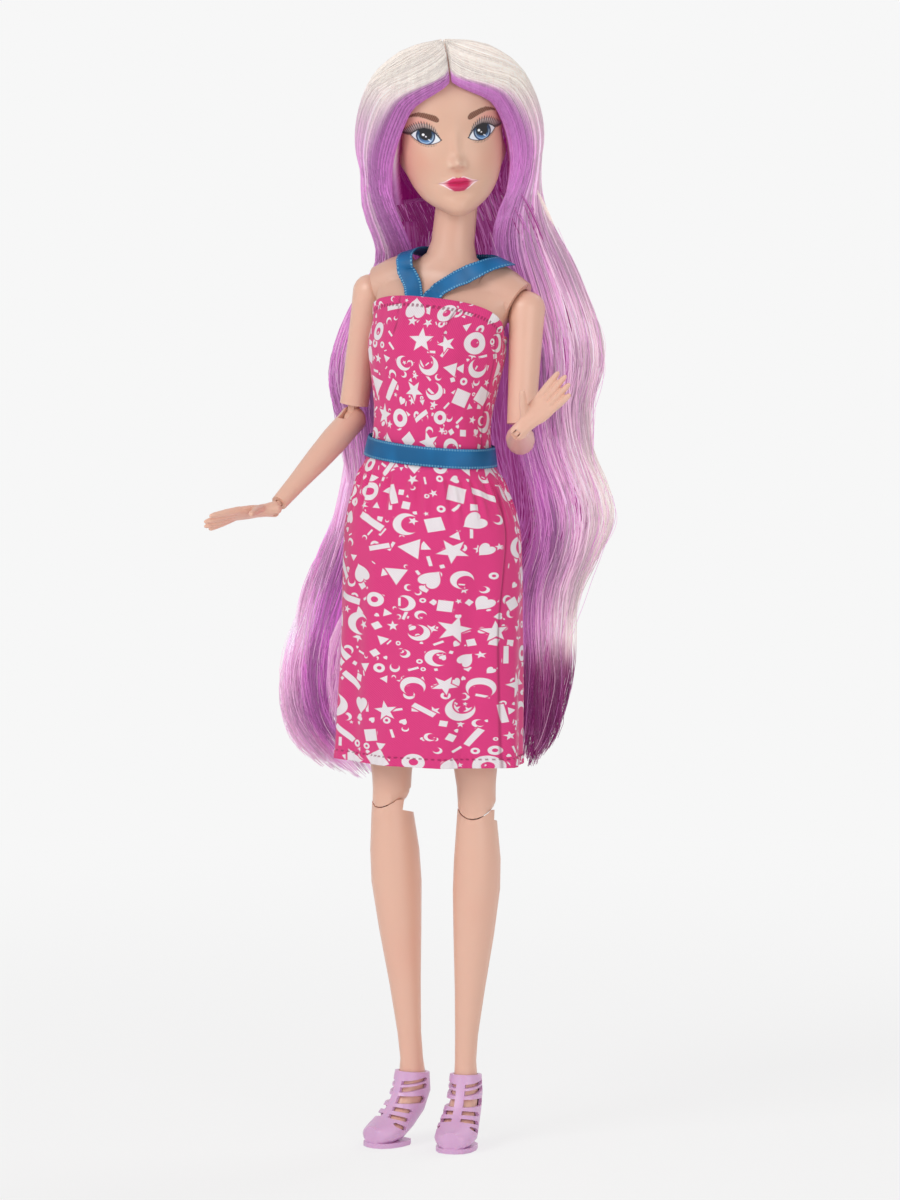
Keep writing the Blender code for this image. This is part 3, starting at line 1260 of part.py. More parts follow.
def make_halter(torso_frame):
    """The neck ribbon: up from the bodice, behind the neck and down over the other shoulder."""
    route = refined([(i, *row) for i, row in enumerate(HALTER_SHARES)], 2)
    rings = []
    for number, (_, degrees, share, lift) in enumerate(route):
        ahead = route[min(number + 1, len(route) - 1)]
        behind = route[max(number - 1, 0)]
        here = torso_point(degrees, share)
        along = (torso_point(ahead[1], ahead[2]) - torso_point(behind[1], behind[2])).normalized()
        normal = torso_normal(degrees, share)
        across = normal.cross(along).normalized() * HALTER_WIDTH / 2
        low = 3 * GAP + lift * HALTER_LIFT
        high = low + RIBBON
        rings.append(
            [
                here + normal * low - across,
                here + normal * low + across,
                here + normal * high + across,
                here + normal * high - across,
            ]
        )
    shape = loft(rings)
    walls = list(shape.faces)[: len(rings[0]) * (len(rings) - 1)]
    under, over = walls[0 :: len(rings[0])], walls[2 :: len(rings[0])]
    bmesh.ops.triangulate(shape, faces=under, quad_method="FIXED")
    bmesh.ops.triangulate(shape, faces=over, quad_method="ALTERNATE")
    solid("halter_ribbon", shape, torso_frame, BLUE, 0.35)


def make_crown(head_frame):
    """The crown of hair over the skull, open round the face."""
    crown = solid("hair_crown", loft(crown_rings()), head_frame, CREAM, 0.4)
    shares = [row[0] for row in HEAD_SHARES][1:]
    inside = [head_ring(share, 3 * GAP, 20, 0.0) for share in shares]
    foot = [(x, y, z - 2 * OVERRUN) for x, y, z in inside[0]]
    inside[-1] = [(x, y, z + GAP) for x, y, z in inside[-1]]
    boolean(crown, helper("skull_space", loft([foot] + inside), head_frame))
    arch = [(FACE_HALF_WIDTH * math.cos(math.pi * i / 14),
             FACE_RISE + FACE_HALF_HEIGHT * math.sin(math.pi * i / 14)) for i in range(15)]
    arch += [(-0.9 * FACE_HALF_WIDTH, -FACE_RISE), (0.9 * FACE_HALF_WIDTH, -FACE_RISE)]
    shape = prism(arch, "Y", HAIR_HALF_DEPTH)
    bmesh.ops.translate(shape, vec=Vector((0, -HAIR_HALF_DEPTH - FACE_DEPTH, 0)), verts=shape.verts)
    boolean(crown, helper("face_opening", shape, head_frame))


def crown_rings(out=0.0):
    """The outside of the crown, or a form so far out from it."""
    rings = []
    for number, (share, half_width, front, back, squareness) in enumerate(CROWN_SHARES):
        ring = round_ring(CROWN_SIDES, half_width * HAIR_HALF_WIDTH + out, front * HAIR_HALF_DEPTH - out,
                          back * HAIR_HALF_DEPTH + out, squareness)
        z = share * HAIR_HEIGHT + (out if number else -out)
        rings.append([(x, y, z) for x, y in ring])
    return rings


def length_cutters(torso_frame, head_frame):
    """The room that the lengths of hair leave for the crown above them and the clothed body."""
    shares = [row[0] for row in TORSO_SHARES][3:]
    body = [torso_ring(share, 2 * GAP + 2 * FABRIC, 24) for share in shares]
    return [
        helper("crown_room", loft(crown_rings(GAP)), head_frame),
        helper("body_room", loft(body), torso_frame),
    ]


def make_length(name, rows, head_frame, cutters, colour):
    """A long mass of hair from the crown down the back, lofted from flat oval sections."""
    rings = []
    for share, outer, inner, back, thick in rows:
        left, right = sorted((outer * HAIR_SPREAD, inner * HAIR_SPREAD))
        half = thick * HAIR_THICKNESS
        middle = (left + right) / 2
        ring = round_ring(HAIR_SIDES, (right - left) / 2, back * HAIR_BACK - half, back * HAIR_BACK + half, 2.2)
        rings.append([(middle + x, y, share * HAIR_DROP) for x, y in ring])
    made = solid(name, loft(rings), head_frame, colour, 0.4)
    made.matrix_parent_inverse = head_frame.matrix_world.inverted()
    for cutter in cutters:
        boolean(made, cutter)


def main():
    clear_scene()
    root_frame = frame("doll")
    torso_frame = frame("torso", root_frame, turns=(("Y", TORSO_LEAN), ("X", -TORSO_BACK)))
    neck_frame = frame("neck_top", torso_frame, (0, SEAM_Y, NECK_PIVOT), (("Y", NECK_SLANT),))
    knob_frame = frame("neck_nod", neck_frame, turns=(("X", HEAD_NOD),))
    head_frame = frame("head_turn", knob_frame, turns=(("Z", HEAD_TURN),))
    make_torso(torso_frame, neck_frame)
    make_neck_knob(neck_frame, knob_frame)
    make_head(head_frame)
    make_crown(head_frame)
    cutters = length_cutters(torso_frame, head_frame)
    make_length("hair_length_left", LEFT_HAIR_SHARES, head_frame, cutters, HAIR)
    make_length("hair_length_right", RIGHT_HAIR_SHARES, head_frame, cutters, HAIR)
    make_length("hair_length_back", BACK_HAIR_SHARES, head_frame, cutters, HAIR)
    make_bodice(torso_frame)
    make_belt(torso_frame)
    make_halter(torso_frame)
    make_skirt(root_frame)
    make_arm(1, "left", torso_frame, LEFT_ARM)
    make_arm(-1, "right", torso_frame, RIGHT_ARM)
    axle_frame = make_hips(torso_frame)
    make_leg(1, "left", axle_frame, LEFT_LEG)
    make_leg(-1, "right", axle_frame, RIGHT_LEG)


main()
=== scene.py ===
"""Looks of an articulated fashion doll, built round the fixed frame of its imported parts."""

import json
import math

import bmesh
import bpy
import numpy as np
from bpy.props import FloatProperty, FloatVectorProperty, IntProperty, PointerProperty
from mathutils import Matrix

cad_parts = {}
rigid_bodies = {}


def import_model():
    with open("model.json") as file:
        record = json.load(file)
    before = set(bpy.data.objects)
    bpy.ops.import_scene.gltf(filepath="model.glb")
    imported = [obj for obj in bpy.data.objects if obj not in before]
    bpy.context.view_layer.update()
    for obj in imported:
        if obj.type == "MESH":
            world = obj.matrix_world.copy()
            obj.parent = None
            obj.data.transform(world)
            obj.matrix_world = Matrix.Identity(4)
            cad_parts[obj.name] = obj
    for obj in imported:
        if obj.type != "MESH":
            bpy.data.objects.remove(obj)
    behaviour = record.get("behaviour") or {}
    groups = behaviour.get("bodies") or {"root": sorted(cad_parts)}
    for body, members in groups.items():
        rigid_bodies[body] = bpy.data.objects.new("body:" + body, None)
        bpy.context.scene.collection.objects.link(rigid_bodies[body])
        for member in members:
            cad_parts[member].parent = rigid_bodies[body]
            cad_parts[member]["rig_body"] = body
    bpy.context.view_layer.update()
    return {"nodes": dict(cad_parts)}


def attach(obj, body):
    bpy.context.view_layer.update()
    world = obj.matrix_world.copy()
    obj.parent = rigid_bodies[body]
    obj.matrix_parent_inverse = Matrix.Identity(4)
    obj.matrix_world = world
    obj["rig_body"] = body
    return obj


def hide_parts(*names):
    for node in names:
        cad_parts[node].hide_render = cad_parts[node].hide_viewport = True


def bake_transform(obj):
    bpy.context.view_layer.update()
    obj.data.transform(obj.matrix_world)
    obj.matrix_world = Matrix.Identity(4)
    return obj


bl_info = {
    "name": "Fashion doll looks",
    "version": (1, 0, 0),
    "blender": (4, 5, 0),
    "location": "View3D > Sidebar > Doll",
    "description": "Skin, face, hair, dress, ribbons and shoes for the articulated doll",
    "category": "Object",
}

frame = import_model()
MM = 0.001
CIRCLE = 2 * math.pi

# Body sections: height, half width, front, back and squareness, as shares of the body's sizes
TORSO = (0.0500, 0.0200, 0.0140)
TORSO_ROWS = (
    (-0.690, 0.32, -0.20, 0.56, 2.0),
    (-0.640, 0.52, -0.48, 0.82, 2.0),
    (-0.500, 0.88, -0.76, 1.06, 2.1),
    (-0.360, 1.02, -0.88, 1.10, 2.2),
    (-0.200, 0.950, -0.87, 0.93, 2.1),
    (0.000, 0.800, -0.76, 0.78, 2.0),
    (0.180, 0.770, -0.82, 0.70, 2.0),
    (0.360, 0.830, -0.93, 0.70, 2.1),
    (0.540, 0.900, -1.00, 0.72, 2.2),
    (0.680, 0.880, -0.88, 0.74, 2.3),
    (0.800, 0.960, -0.58, 0.72, 2.5),
    (0.870, 1.020, -0.36, 0.68, 2.6),
    (0.925, 0.960, -0.24, 0.62, 2.5),
    (0.965, 0.720, -0.22, 0.61, 2.3),
    (1.000, 0.480, -0.23, 0.62, 2.1),
    (1.040, 0.345, -0.220, 0.615, 2.0),
    (1.110, 0.290, -0.190, 0.600, 2.0),
    (1.290, 0.280, -0.150, 0.620, 2.0),
)
BUST = (0.0078, 0.0290, 0.0058, 0.0022)

# Skirt sections: place down, half width, front and back
SKIRT = (-0.0034, 0.0801, 0.0255, 0.0150)
SKIRT_ROWS = (
    (-0.035, 0.668, -0.790, 0.81),
    (-0.010, 0.676, -0.815, 0.83),
    (0.012, 0.715, -0.850, 0.88),
    (0.070, 0.800, -0.90, 0.97),
    (0.200, 0.930, -0.96, 1.16),
    (0.330, 0.955, -0.97, 1.22),
    (0.530, 0.965, -0.95, 1.14),
    (0.780, 0.985, -0.94, 1.10),
    (1.000, 1.000, -0.94, 1.08),
)

# Head sections: height, half width, front, back and squareness
HEAD = (0.0430, 0.0142, 0.0155, -0.0008)
HEAD_ROWS = (
    (0.000, 0.16, -0.84, -0.30, 2.0),
    (0.030, 0.36, -0.91, 0.24, 2.0),
    (0.078, 0.575, -0.93, 0.58, 2.1),
    (0.150, 0.750, -0.92, 0.78, 2.2),
    (0.232, 0.860, -0.905, 0.88, 2.2),
    (0.350, 0.935, -0.895, 0.97, 2.2),
    (0.510, 0.972, -0.865, 1.04, 2.2),
    (0.670, 1.000, -0.875, 1.06, 2.2),
    (0.810, 0.930, -0.760, 0.95, 2.1),
    (0.915, 0.690, -0.500, 0.68, 2.0),
    (0.975, 0.345, -0.190, 0.36, 2.0),
    (0.998, 0.080, 0.020, 0.12, 2.0),
)
# Relief of the face in millimetres: across, up, spread across, spread up and size forward. A row off the
# middle stands for both sides of the face.
RELIEF = (
    (0.0, 13.4, 1.6, 1.7, 2.6),
    (0.0, 18.0, 1.5, 4.6, 0.9),
    (1.9, 12.7, 0.9, 0.9, 0.75),
    (0.0, 10.7, 0.6, 1.1, -0.25),
    (0.0, 9.0, 3.4, 0.75, 0.85),
    (0.0, 6.8, 2.8, 0.95, 0.95),
    (0.0, 8.0, 4.4, 0.34, -0.55),
    (0.0, 4.8, 3.4, 0.7, -0.25),
    (0.0, 2.2, 3.6, 2.0, 0.75),
    (7.3, 21.2, 3.4, 2.6, -0.80),
    (7.3, 21.0, 2.6, 1.9, 0.35),
    (8.0, 14.0, 3.4, 3.6, 0.45),
)
# Heights of the head's rings in millimetres, each with its count of steps to the next
HEAD_RINGS = ((0.0, 14), (2.4, 14), (6.0, 38), (10.5, 38), (18.2, 112), (25.8, 16), (29.0, 19))

# Crown of hair: height, half width, front, back and squareness
CROWN = (0.0450, 0.0252, 0.0200)
CROWN_ROWS = (
    (0.030, 0.79, -0.10, 0.98, 2.1),
    (0.150, 0.90, -0.26, 1.00, 2.1),
    (0.300, 0.985, -0.42, 1.04, 2.1),
    (0.420, 1.000, -0.54, 1.08, 2.1),
    (0.560, 0.965, -0.66, 1.10, 2.1),
    (0.690, 0.890, -0.74, 1.06, 2.1),
    (0.800, 0.780, -0.74, 0.96, 2.1),
    (0.900, 0.580, -0.62, 0.76, 2.0),
    (0.965, 0.340, -0.40, 0.48, 2.0),
    (1.000, 0.080, -0.10, 0.14, 2.0),
)
# Opening of the hair round the face: half width, height of its arch's centre and the arch's height
FACE_OPENING = (0.0152, 0.0108, 0.0252)

# Lengths of hair: height, outer edge, inner edge, place back and half thickness
LENGTH = (0.0940, 0.0500, 0.0160, 0.0060)
LENGTH_ROWS = {
    1: (
        (0.760, 0.48, 0.10, 0.92, 0.66),
        (0.690, 0.56, 0.12, 0.94, 0.74),
        (0.600, 0.64, 0.18, 0.98, 0.80),
        (0.500, 0.71, 0.24, 1.08, 0.86),
        (0.360, 0.81, 0.30, 1.06, 0.92),
        (0.240, 0.84, 0.34, 1.06, 0.94),
        (0.110, 0.77, 0.36, 1.10, 0.90),
        (0.000, 0.77, 0.38, 1.16, 0.90),
        (-0.130, 0.84, 0.42, 1.24, 0.92),
        (-0.210, 0.86, 0.44, 1.28, 0.92),
        (-0.300, 0.80, 0.42, 1.30, 0.90),
        (-0.400, 0.69, 0.36, 1.32, 0.84),
        (-0.520, 0.64, 0.33, 1.30, 0.80),
        (-0.700, 0.62, 0.32, 1.26, 0.78),
        (-0.820, 0.57, 0.31, 1.22, 0.66),
        (-0.900, 0.46, 0.34, 1.20, 0.40),
    ),
    -1: (
        (0.760, -0.54, -0.04, 0.86, 0.64),
        (0.690, -0.49, -0.08, 0.88, 0.70),
        (0.600, -0.41, -0.11, 0.92, 0.76),
        (0.520, -0.43, -0.14, 1.04, 0.82),
        (0.440, -0.56, -0.20, 1.10, 0.88),
        (0.340, -0.66, -0.26, 1.10, 0.90),
        (0.180, -0.72, -0.32, 1.06, 0.90),
        (0.020, -0.66, -0.36, 1.10, 0.86),
        (-0.120, -0.65, -0.40, 1.16, 0.84),
        (-0.240, -0.71, -0.46, 1.20, 0.84),
        (-0.360, -0.83, -0.53, 1.20, 0.86),
        (-0.520, -0.94, -0.66, 1.14, 0.88),
        (-0.700, -1.01, -0.70, 1.08, 0.88),
        (-0.820, -0.99, -0.66, 1.08, 0.86),
        (-0.930, -0.85, -0.50, 1.12, 0.74),
        (-0.995, -0.62, -0.44, 1.16, 0.42),
    ),
    0: (
        (0.760, 0.38, -0.34, 1.46, 0.72),
        (0.680, 0.42, -0.36, 1.54, 0.80),
        (0.560, 0.42, -0.34, 1.62, 0.86),
        (0.400, 0.46, -0.40, 1.70, 0.92),
        (0.200, 0.48, -0.44, 1.76, 0.92),
        (0.000, 0.48, -0.46, 1.84, 0.92),
        (-0.200, 0.48, -0.46, 1.98, 0.90),
        (-0.400, 0.44, -0.46, 2.02, 0.88),
        (-0.600, 0.38, -0.46, 1.98, 0.84),
        (-0.780, 0.36, -0.50, 1.90, 0.74),
        (-0.900, 0.24, -0.42, 1.86, 0.44),
    ),
}
SIDE_WORDS = {1: "left", -1: "right", 0: "back"}

# Neck ribbon: angle round the body, height as a share of the torso and stand-off; its ends are tucked in
NECK_RIBBON_ROWS = (
    (259.5, 0.775, -0.36), (257.4, 0.832, -0.22), (255.0, 0.870, 0.08), (247.0, 0.922, 0.60),
    (234.0, 0.960, 1.00), (210.0, 0.988, 0.90), (185.0, 1.003, 0.70), (155.0, 1.010, 0.40),
    (120.0, 1.008, 0.20), (90.0, 1.003, 0.20), (62.0, 0.994, 0.50), (35.0, 0.980, 1.00),
    (12.0, 0.968, 1.25), (-12.0, 0.965, 1.35), (-35.0, 0.962, 1.25), (-52.0, 0.956, 1.10),
    (-66.0, 0.944, 0.90), (-77.0, 0.918, 0.60), (-84.0, 0.886, 0.30), (-88.5, 0.858, 0.00),
    (-90.0, 0.832, -0.22), (-92.5, 0.775, -0.36),
)

SKIN_WORDS = (
    "torso", "neck_knob", "shoulder_hub", "upper_arm", "elbow_knuckle", "forearm", "wrist_peg", "hip_axle",
    "hip_disc", "hip_ball", "thigh", "lower_leg",
)


# Sizes and colours that a user would change


def tint(name, description, default):
    """A colour that a user can change."""
    return FloatVectorProperty(name=name, description=description, subtype="COLOR", default=default)


class SkinSettings(bpy.types.PropertyGroup):
    colour: tint("Skin", "Colour of the moulded vinyl skin", (0.80, 0.485, 0.37))
    blush: tint("Blush", "Warm colour at joints and cheeks", (0.78, 0.25, 0.20))
    gloss: FloatProperty(name="Roughness", description="Roughness of vinyl", default=0.42, subtype="FACTOR")


class FaceSettings(bpy.types.PropertyGroup):
    iris: tint("Iris", "Blue of the eyes", (0.07, 0.20, 0.45))
    lips: tint("Lips", "Pink of the lips", (0.62, 0.03, 0.13))
    brows: tint("Brows", "Brown of the brows", (0.16, 0.055, 0.03))


class HairSettings(bpy.types.PropertyGroup):
    cream: tint("Cream", "Platinum hair", (0.97, 0.91, 0.85))
    lilac: tint("Lilac", "Lilac hair", (0.79, 0.325, 0.745))
    pale: tint("Pale lilac", "Lilac in the light", (0.98, 0.75, 0.89))
    # The deep lilac is the tuft's own colour and is also painted as shade deep in the hair.
    deep: tint("Deep lilac", "Hair in the depth", (0.40, 0.015, 0.25))
    strands: IntProperty(name="Strands", description="Strands in each layer of hair", default=620, min=10)
    thickness: FloatProperty(name="Strand", description="Radius of a strand", default=0.00017, unit="LENGTH")


class DressSettings(bpy.types.PropertyGroup):
    cloth: tint("Cloth", "Pink of the twill", (0.78, 0.048, 0.235))
    print_colour: tint("Print", "White of the print", (0.86, 0.80, 0.84))
    ribbon: tint("Ribbon", "Blue of the satin", (0.0035, 0.118, 0.30))


class ShoeSettings(bpy.types.PropertyGroup):
    colour: tint("Shoe", "Lilac of the moulded shoe", (0.70, 0.42, 0.66))


class StageSettings(bpy.types.PropertyGroup):
    azimuth: FloatProperty(name="Azimuth", description="Camera's turn to the right in degrees", default=22.0)
    elevation: FloatProperty(name="Elevation", description="Camera's height in degrees", default=6.5)
    distance: FloatProperty(name="Distance", description="Camera's distance", default=1.6, unit="LENGTH")
    backdrop: FloatProperty(name="Backdrop", description="Brightness, 0 to 1", default=0.93, subtype="FACTOR")


# Shapes worked out with numpy


def curve_at(rows, place):
    """Rows of numbers read on a smooth curve: cubic pieces whose slopes are the rows' own mean slopes."""
    table = np.array(rows, dtype=float)
    if table[0, 0] > table[-1, 0]:
        table = table[::-1]
    slopes = np.gradient(table, table[:, 0], axis=0)
    place = np.clip(np.asarray(place, dtype=float), table[0, 0], table[-1, 0])
    i = np.clip(np.searchsorted(table[:, 0], place, side="right") - 1, 0, len(table) - 2)
    span = table[i + 1, 0] - table[i, 0]
    t = ((place - table[i, 0]) / span)[..., None]
    span = span[..., None]
    found = (
        (2 * t**3 - 3 * t**2 + 1) * table[i]
        + (t**3 - 2 * t**2 + t) * span * slopes[i]
        + (3 * t**2 - 2 * t**3) * table[i + 1]
        + (t**3 - t**2) * span * slopes[i + 1]
    )
    return [found[..., column] for column in range(1, table.shape[1])]


def smooth(low, high, value):
    """0 below low, 1 above high, and a smooth ramp between."""
    t = np.clip((value - low) / (high - low), 0, 1)
    return t * t * (3 - 2 * t)


def line_near(value, place, width):
    """1 on a place and a soft bell of that width about it."""
    return np.exp(-(((value - place) / width) ** 2))


def bell(x, z, across, up, wide, tall):
    """1 at a point and a soft bell of that width and height about it."""
    return np.exp(-(((x - across) / wide) ** 2) - ((z - up) / tall) ** 2)


def laid(under, mask, over):
    """Colours or points that pass from under to over as the mask goes from 0 to 1."""
    return under + mask[..., None] * (np.array(over) - under)


def layered(colours, layers):
    """Colours with each layer, a mask and its own colour, laid over the ones before."""
    for mask, over in layers:
        colours = laid(colours, mask, over)
    return colours


def unit(vectors):
    """Vectors brought to a length of one."""
    return vectors / (np.linalg.norm(vectors, axis=-1, keepdims=True) + 1e-12)


def stepped(stops, last):
    """Even steps from stop to stop, each stop with its count of steps, as far as the last number."""
    ends = [start for start, _ in stops[1:]] + [last]
    parts = [np.linspace(start, end, count, endpoint=False) for (start, count), end in zip(stops, ends)]
    return np.concatenate([*parts, [last]])


def ring_grid(levels, columns):
    """Two grids, of levels and of turns: each level with every place round it."""
    return np.meshgrid(levels, np.linspace(0, CIRCLE, columns + 1)[:-1], indexing="ij")


def section(turn, half_width, front, back, squareness):
    """A superellipse: the cosine and sine of the turn, each to the power two over the squareness."""
    c, s = np.cos(turn), np.sin(turn)
    x = half_width * np.sign(c) * np.abs(c) ** (2 / squareness)
    y = (front + back) / 2 + (back - front) / 2 * np.sign(s) * np.abs(s) ** (2 / squareness)
    return x, y


def torso_at(turn, height, out=0.0):
    """A point over the body: the section at that height, grown by out, with two soft mounds in front."""
    rise, wide, deep = TORSO
    half, front, back, square = curve_at(TORSO_ROWS, height / rise)
    x, y = section(turn, half * wide + out, front * deep - out, back * deep + out, square)
    apart, up, size, depth = BUST
    mound = sum(depth * np.exp(-((x - s * apart) ** 2 + (height - up) ** 2) / size**2) for s in (-1, 1))
    return np.stack([x, y - np.where(y < 0, mound, 0), height + 0 * x], axis=-1)


def placed(matrix, points):
    """Points carried by a 4 by 4 matrix."""
    m = np.array(matrix)
    return points @ m[:3, :3].T + m[:3, 3]


def turn_about(axis, degrees):
    return Matrix.Rotation(math.radians(degrees), 4, axis)


# How the torso leans to the doll's left, and the frames of torso, neck and head as they stand at rest
TORSO_LEAN = 4.5
TORSO_FRAME = turn_about("Y", TORSO_LEAN) @ turn_about("X", -2.0)
NECK_FRAME = TORSO_FRAME @ Matrix.Translation((0, 0.0035, 0.0650)) @ turn_about("Y", -7.0)
HEAD_FRAME = NECK_FRAME @ turn_about("X", 8.0) @ turn_about("Z", 26.0)


def added(name, data):
    """A new object with that data, in the scene."""
    made = bpy.data.objects.new(name, data)
    bpy.context.scene.collection.objects.link(made)
    return made


def new_mesh(name, points, faces, uv=None, paint=None):
    """An object from points and arrays of faces, with a UV map and a colour given per point."""
    points = np.ascontiguousarray(points, dtype=np.float32).reshape(-1, 3)
    corners = np.concatenate([f.reshape(-1) for f in faces]).astype(np.int32)
    sizes = np.concatenate([np.full(len(f), f.shape[1], np.int32) for f in faces])
    mesh = bpy.data.meshes.new(name)
    mesh.vertices.add(len(points))
    mesh.vertices.foreach_set("co", points.ravel())
    mesh.loops.add(len(corners))
    mesh.loops.foreach_set("vertex_index", corners)
    mesh.polygons.add(len(sizes))
    mesh.polygons.foreach_set("loop_start", np.concatenate([[0], np.cumsum(sizes)[:-1]]).astype(np.int32))
    mesh.update(calc_edges=True)
    mesh.validate()
    mesh.shade_smooth()
    if uv is not None:
        layer = mesh.uv_layers.new(name="Pattern")
        layer.data.foreach_set("uv", uv.reshape(-1, 2)[corners].astype(np.float32).ravel())
    if paint is not None:
        colours = np.ones((len(points), 4), np.float32)
        colours[:, :3] = np.asarray(paint).reshape(-1, 3)
        mesh.color_attributes.new("Paint", "FLOAT_COLOR", "POINT").data.foreach_set("color", colours.ravel())
    return added(name, mesh)


def grid_faces(rows, columns, looped=False):
    """Quads of a grid whose columns run round and whose rows run up, and on to the first row if looped."""
    index = np.arange(rows * columns).reshape(rows, columns)
    index = np.concatenate([index, index[:, :1]], axis=1)
    if looped:
        index = np.concatenate([index, index[:1]])
    a, b, c, d = index[:-1, :-1], index[:-1, 1:], index[1:, 1:], index[1:, :-1]
    return np.stack([a, b, c, d], axis=-1).reshape(-1, 4)


def capped(name, rings, uv=None, paint=None):
    """A closed skin through rings of points, with a fan from each end's middle."""
    rows, columns = rings.shape[:2]

    def with_middles(values):
        return np.concatenate([values.reshape(-1, values.shape[-1]), values[[0, -1]].mean(axis=1)])

    here = np.arange(columns)
    there = (here + 1) % columns
    low = np.stack([there, here, np.full(columns, rows * columns)], axis=-1)
    top = (rows - 1) * columns
    high = np.stack([top + here, top + there, np.full(columns, rows * columns + 1)], axis=-1)
    faces = [grid_faces(rows, columns), np.concatenate([low, high])]
    uv, paint = (None if values is None else with_middles(values) for values in (uv, paint))
    return new_mesh(name, with_middles(rings), faces, uv, paint)


def sleeve(name, outer, inner, uv, stitched, seam_shade):
    """A cloth tube: the outer skin going up, the inner skin coming down, joined at both edges. Paint on the
    outer skin says how much a place is stitched and how much painted shade darkens its seams and darts."""
    rings = np.concatenate([outer, inner[::-1]])
    paint = np.stack([stitched, np.clip(seam_shade, 0, 1), 0 * stitched], axis=-1)
    paint = np.concatenate([paint, 0 * paint])
    faces = grid_faces(*rings.shape[:2], looped=True)
    return new_mesh(name, rings, [faces], np.concatenate([uv, uv[::-1]]), paint)


def round_length(rings):
    """Distance round each ring from its first point, in metres."""
    steps = np.linalg.norm(np.roll(rings, -1, axis=1) - rings, axis=-1)
    return np.concatenate([np.zeros((len(rings), 1)), np.cumsum(steps, axis=1)[:, :-1]], axis=1)


def fibres(name, paths, radius, paint):
    """Thin tubes along many paths: at each point of a path three corners stand across its direction."""
    sides = 3
    count, points = paths.shape[:2]
    along = unit(np.gradient(paths, axis=1))
    aside = unit(np.cross(along, np.array([0.3, -1.0, 0.2])))
    over = np.cross(along, aside)
    turns = CIRCLE * np.arange(sides) / sides
    wheel = np.cos(turns)[:, None] * aside[:, :, None, :] + np.sin(turns)[:, None] * over[:, :, None, :]
    rings = paths[:, :, None, :] + radius[:, :, None, None] * wheel
    index = np.arange(count * points * sides).reshape(count, points, sides)
    nearby = np.roll(index, -1, axis=2)
    quads = np.stack([index[:, :-1], nearby[:, :-1], nearby[:, 1:], index[:, 1:]], axis=-1).reshape(-1, 4)
    ends = np.concatenate([index[:, 0, ::-1], index[:, -1]])
    made = new_mesh(name, rings, [quads, ends], paint=np.repeat(paint[:, :, None, :], sides, axis=2))
    made.data.polygons.foreach_set("use_smooth", np.arange(len(made.data.polygons)) < len(quads))
    return made


def read_at(values, places):
    """Values of each strand read at fractional places along it, straight between its points."""
    low = np.clip(np.floor(places).astype(int), 0, values.shape[1] - 2)
    share = places - low
    if values.ndim == 3:
        share = share[..., None]
    rows = np.arange(len(values))[:, None]
    return values[rows, low] * (1 - share) + values[rows, low + 1] * share


def parted_fibres(name, paths, radius, paint):
    """Strands in two pieces that meet near one height: an upper piece and a lower one."""
    z = paths[..., 2]
    rows = np.arange(len(z))
    join = HAIR_JOIN + JOIN_STAGGER * np.sin(9 * rows)
    after = np.clip(np.argmax(z < join[:, None], axis=1), 1, None)
    above, below = z[rows, after - 1], z[rows, after]
    meeting = (after - 1 + (above - join) / (above - below))[:, None]
    step = np.linspace(0, 1, STRAND_POINTS // 2)[None, :]
    made = []
    for part, places in (("", meeting * step), ("_lengths", meeting + (STRAND_POINTS - 1 - meeting) * step)):
        made.append(fibres(name + part, *(read_at(values, places) for values in (paths, radius, paint))))
    return made


# Materials

# The vinyl's mould grain: its noise scale and its depth; and how deep red, green and blue light go
MOULD_GRAIN = 2600
GRAIN_DEPTH = 0.00003
SKIN_DEPTH = (1.0, 0.35, 0.2)


class Wire:
    """A number inside a material's nodes, with the usual arithmetic."""

    def __init__(self, tree, socket):
        self.tree, self.socket = tree, socket

    def of(self, operation, *others):
        node = self.tree.nodes.new("ShaderNodeMath")
        node.operation = operation
        for place, value in zip(node.inputs, (self, *others)):
            feed(self.tree, value, place)
        return Wire(self.tree, node.outputs[0])

    def __add__(self, other):
        return self.of("ADD", other)

    def __sub__(self, other):
        return self.of("SUBTRACT", other)

    def __mul__(self, other):
        return self.of("MULTIPLY", other)

    def __truediv__(self, other):
        return self.of("DIVIDE", other)

    def __abs__(self):
        return self.of("ABSOLUTE")

    def least(self, other):
        return self.of("MINIMUM", other)

    def most(self, other):
        return self.of("MAXIMUM", other)

    def ramp(self, low, high):
        """0 at low and 1 at high, with a smooth step between."""
        node = self.tree.nodes.new("ShaderNodeMapRange")
        node.interpolation_type = "SMOOTHSTEP"
        for name, value in (("Value", self), ("From Min", low), ("From Max", high)):
            feed(self.tree, value, node.inputs[name])
        return Wire(self.tree, node.outputs["Result"])

    def waves(self, pitch):
        """A sine with one wave to each pitch."""
        return (self * (CIRCLE / pitch)).of("SINE")


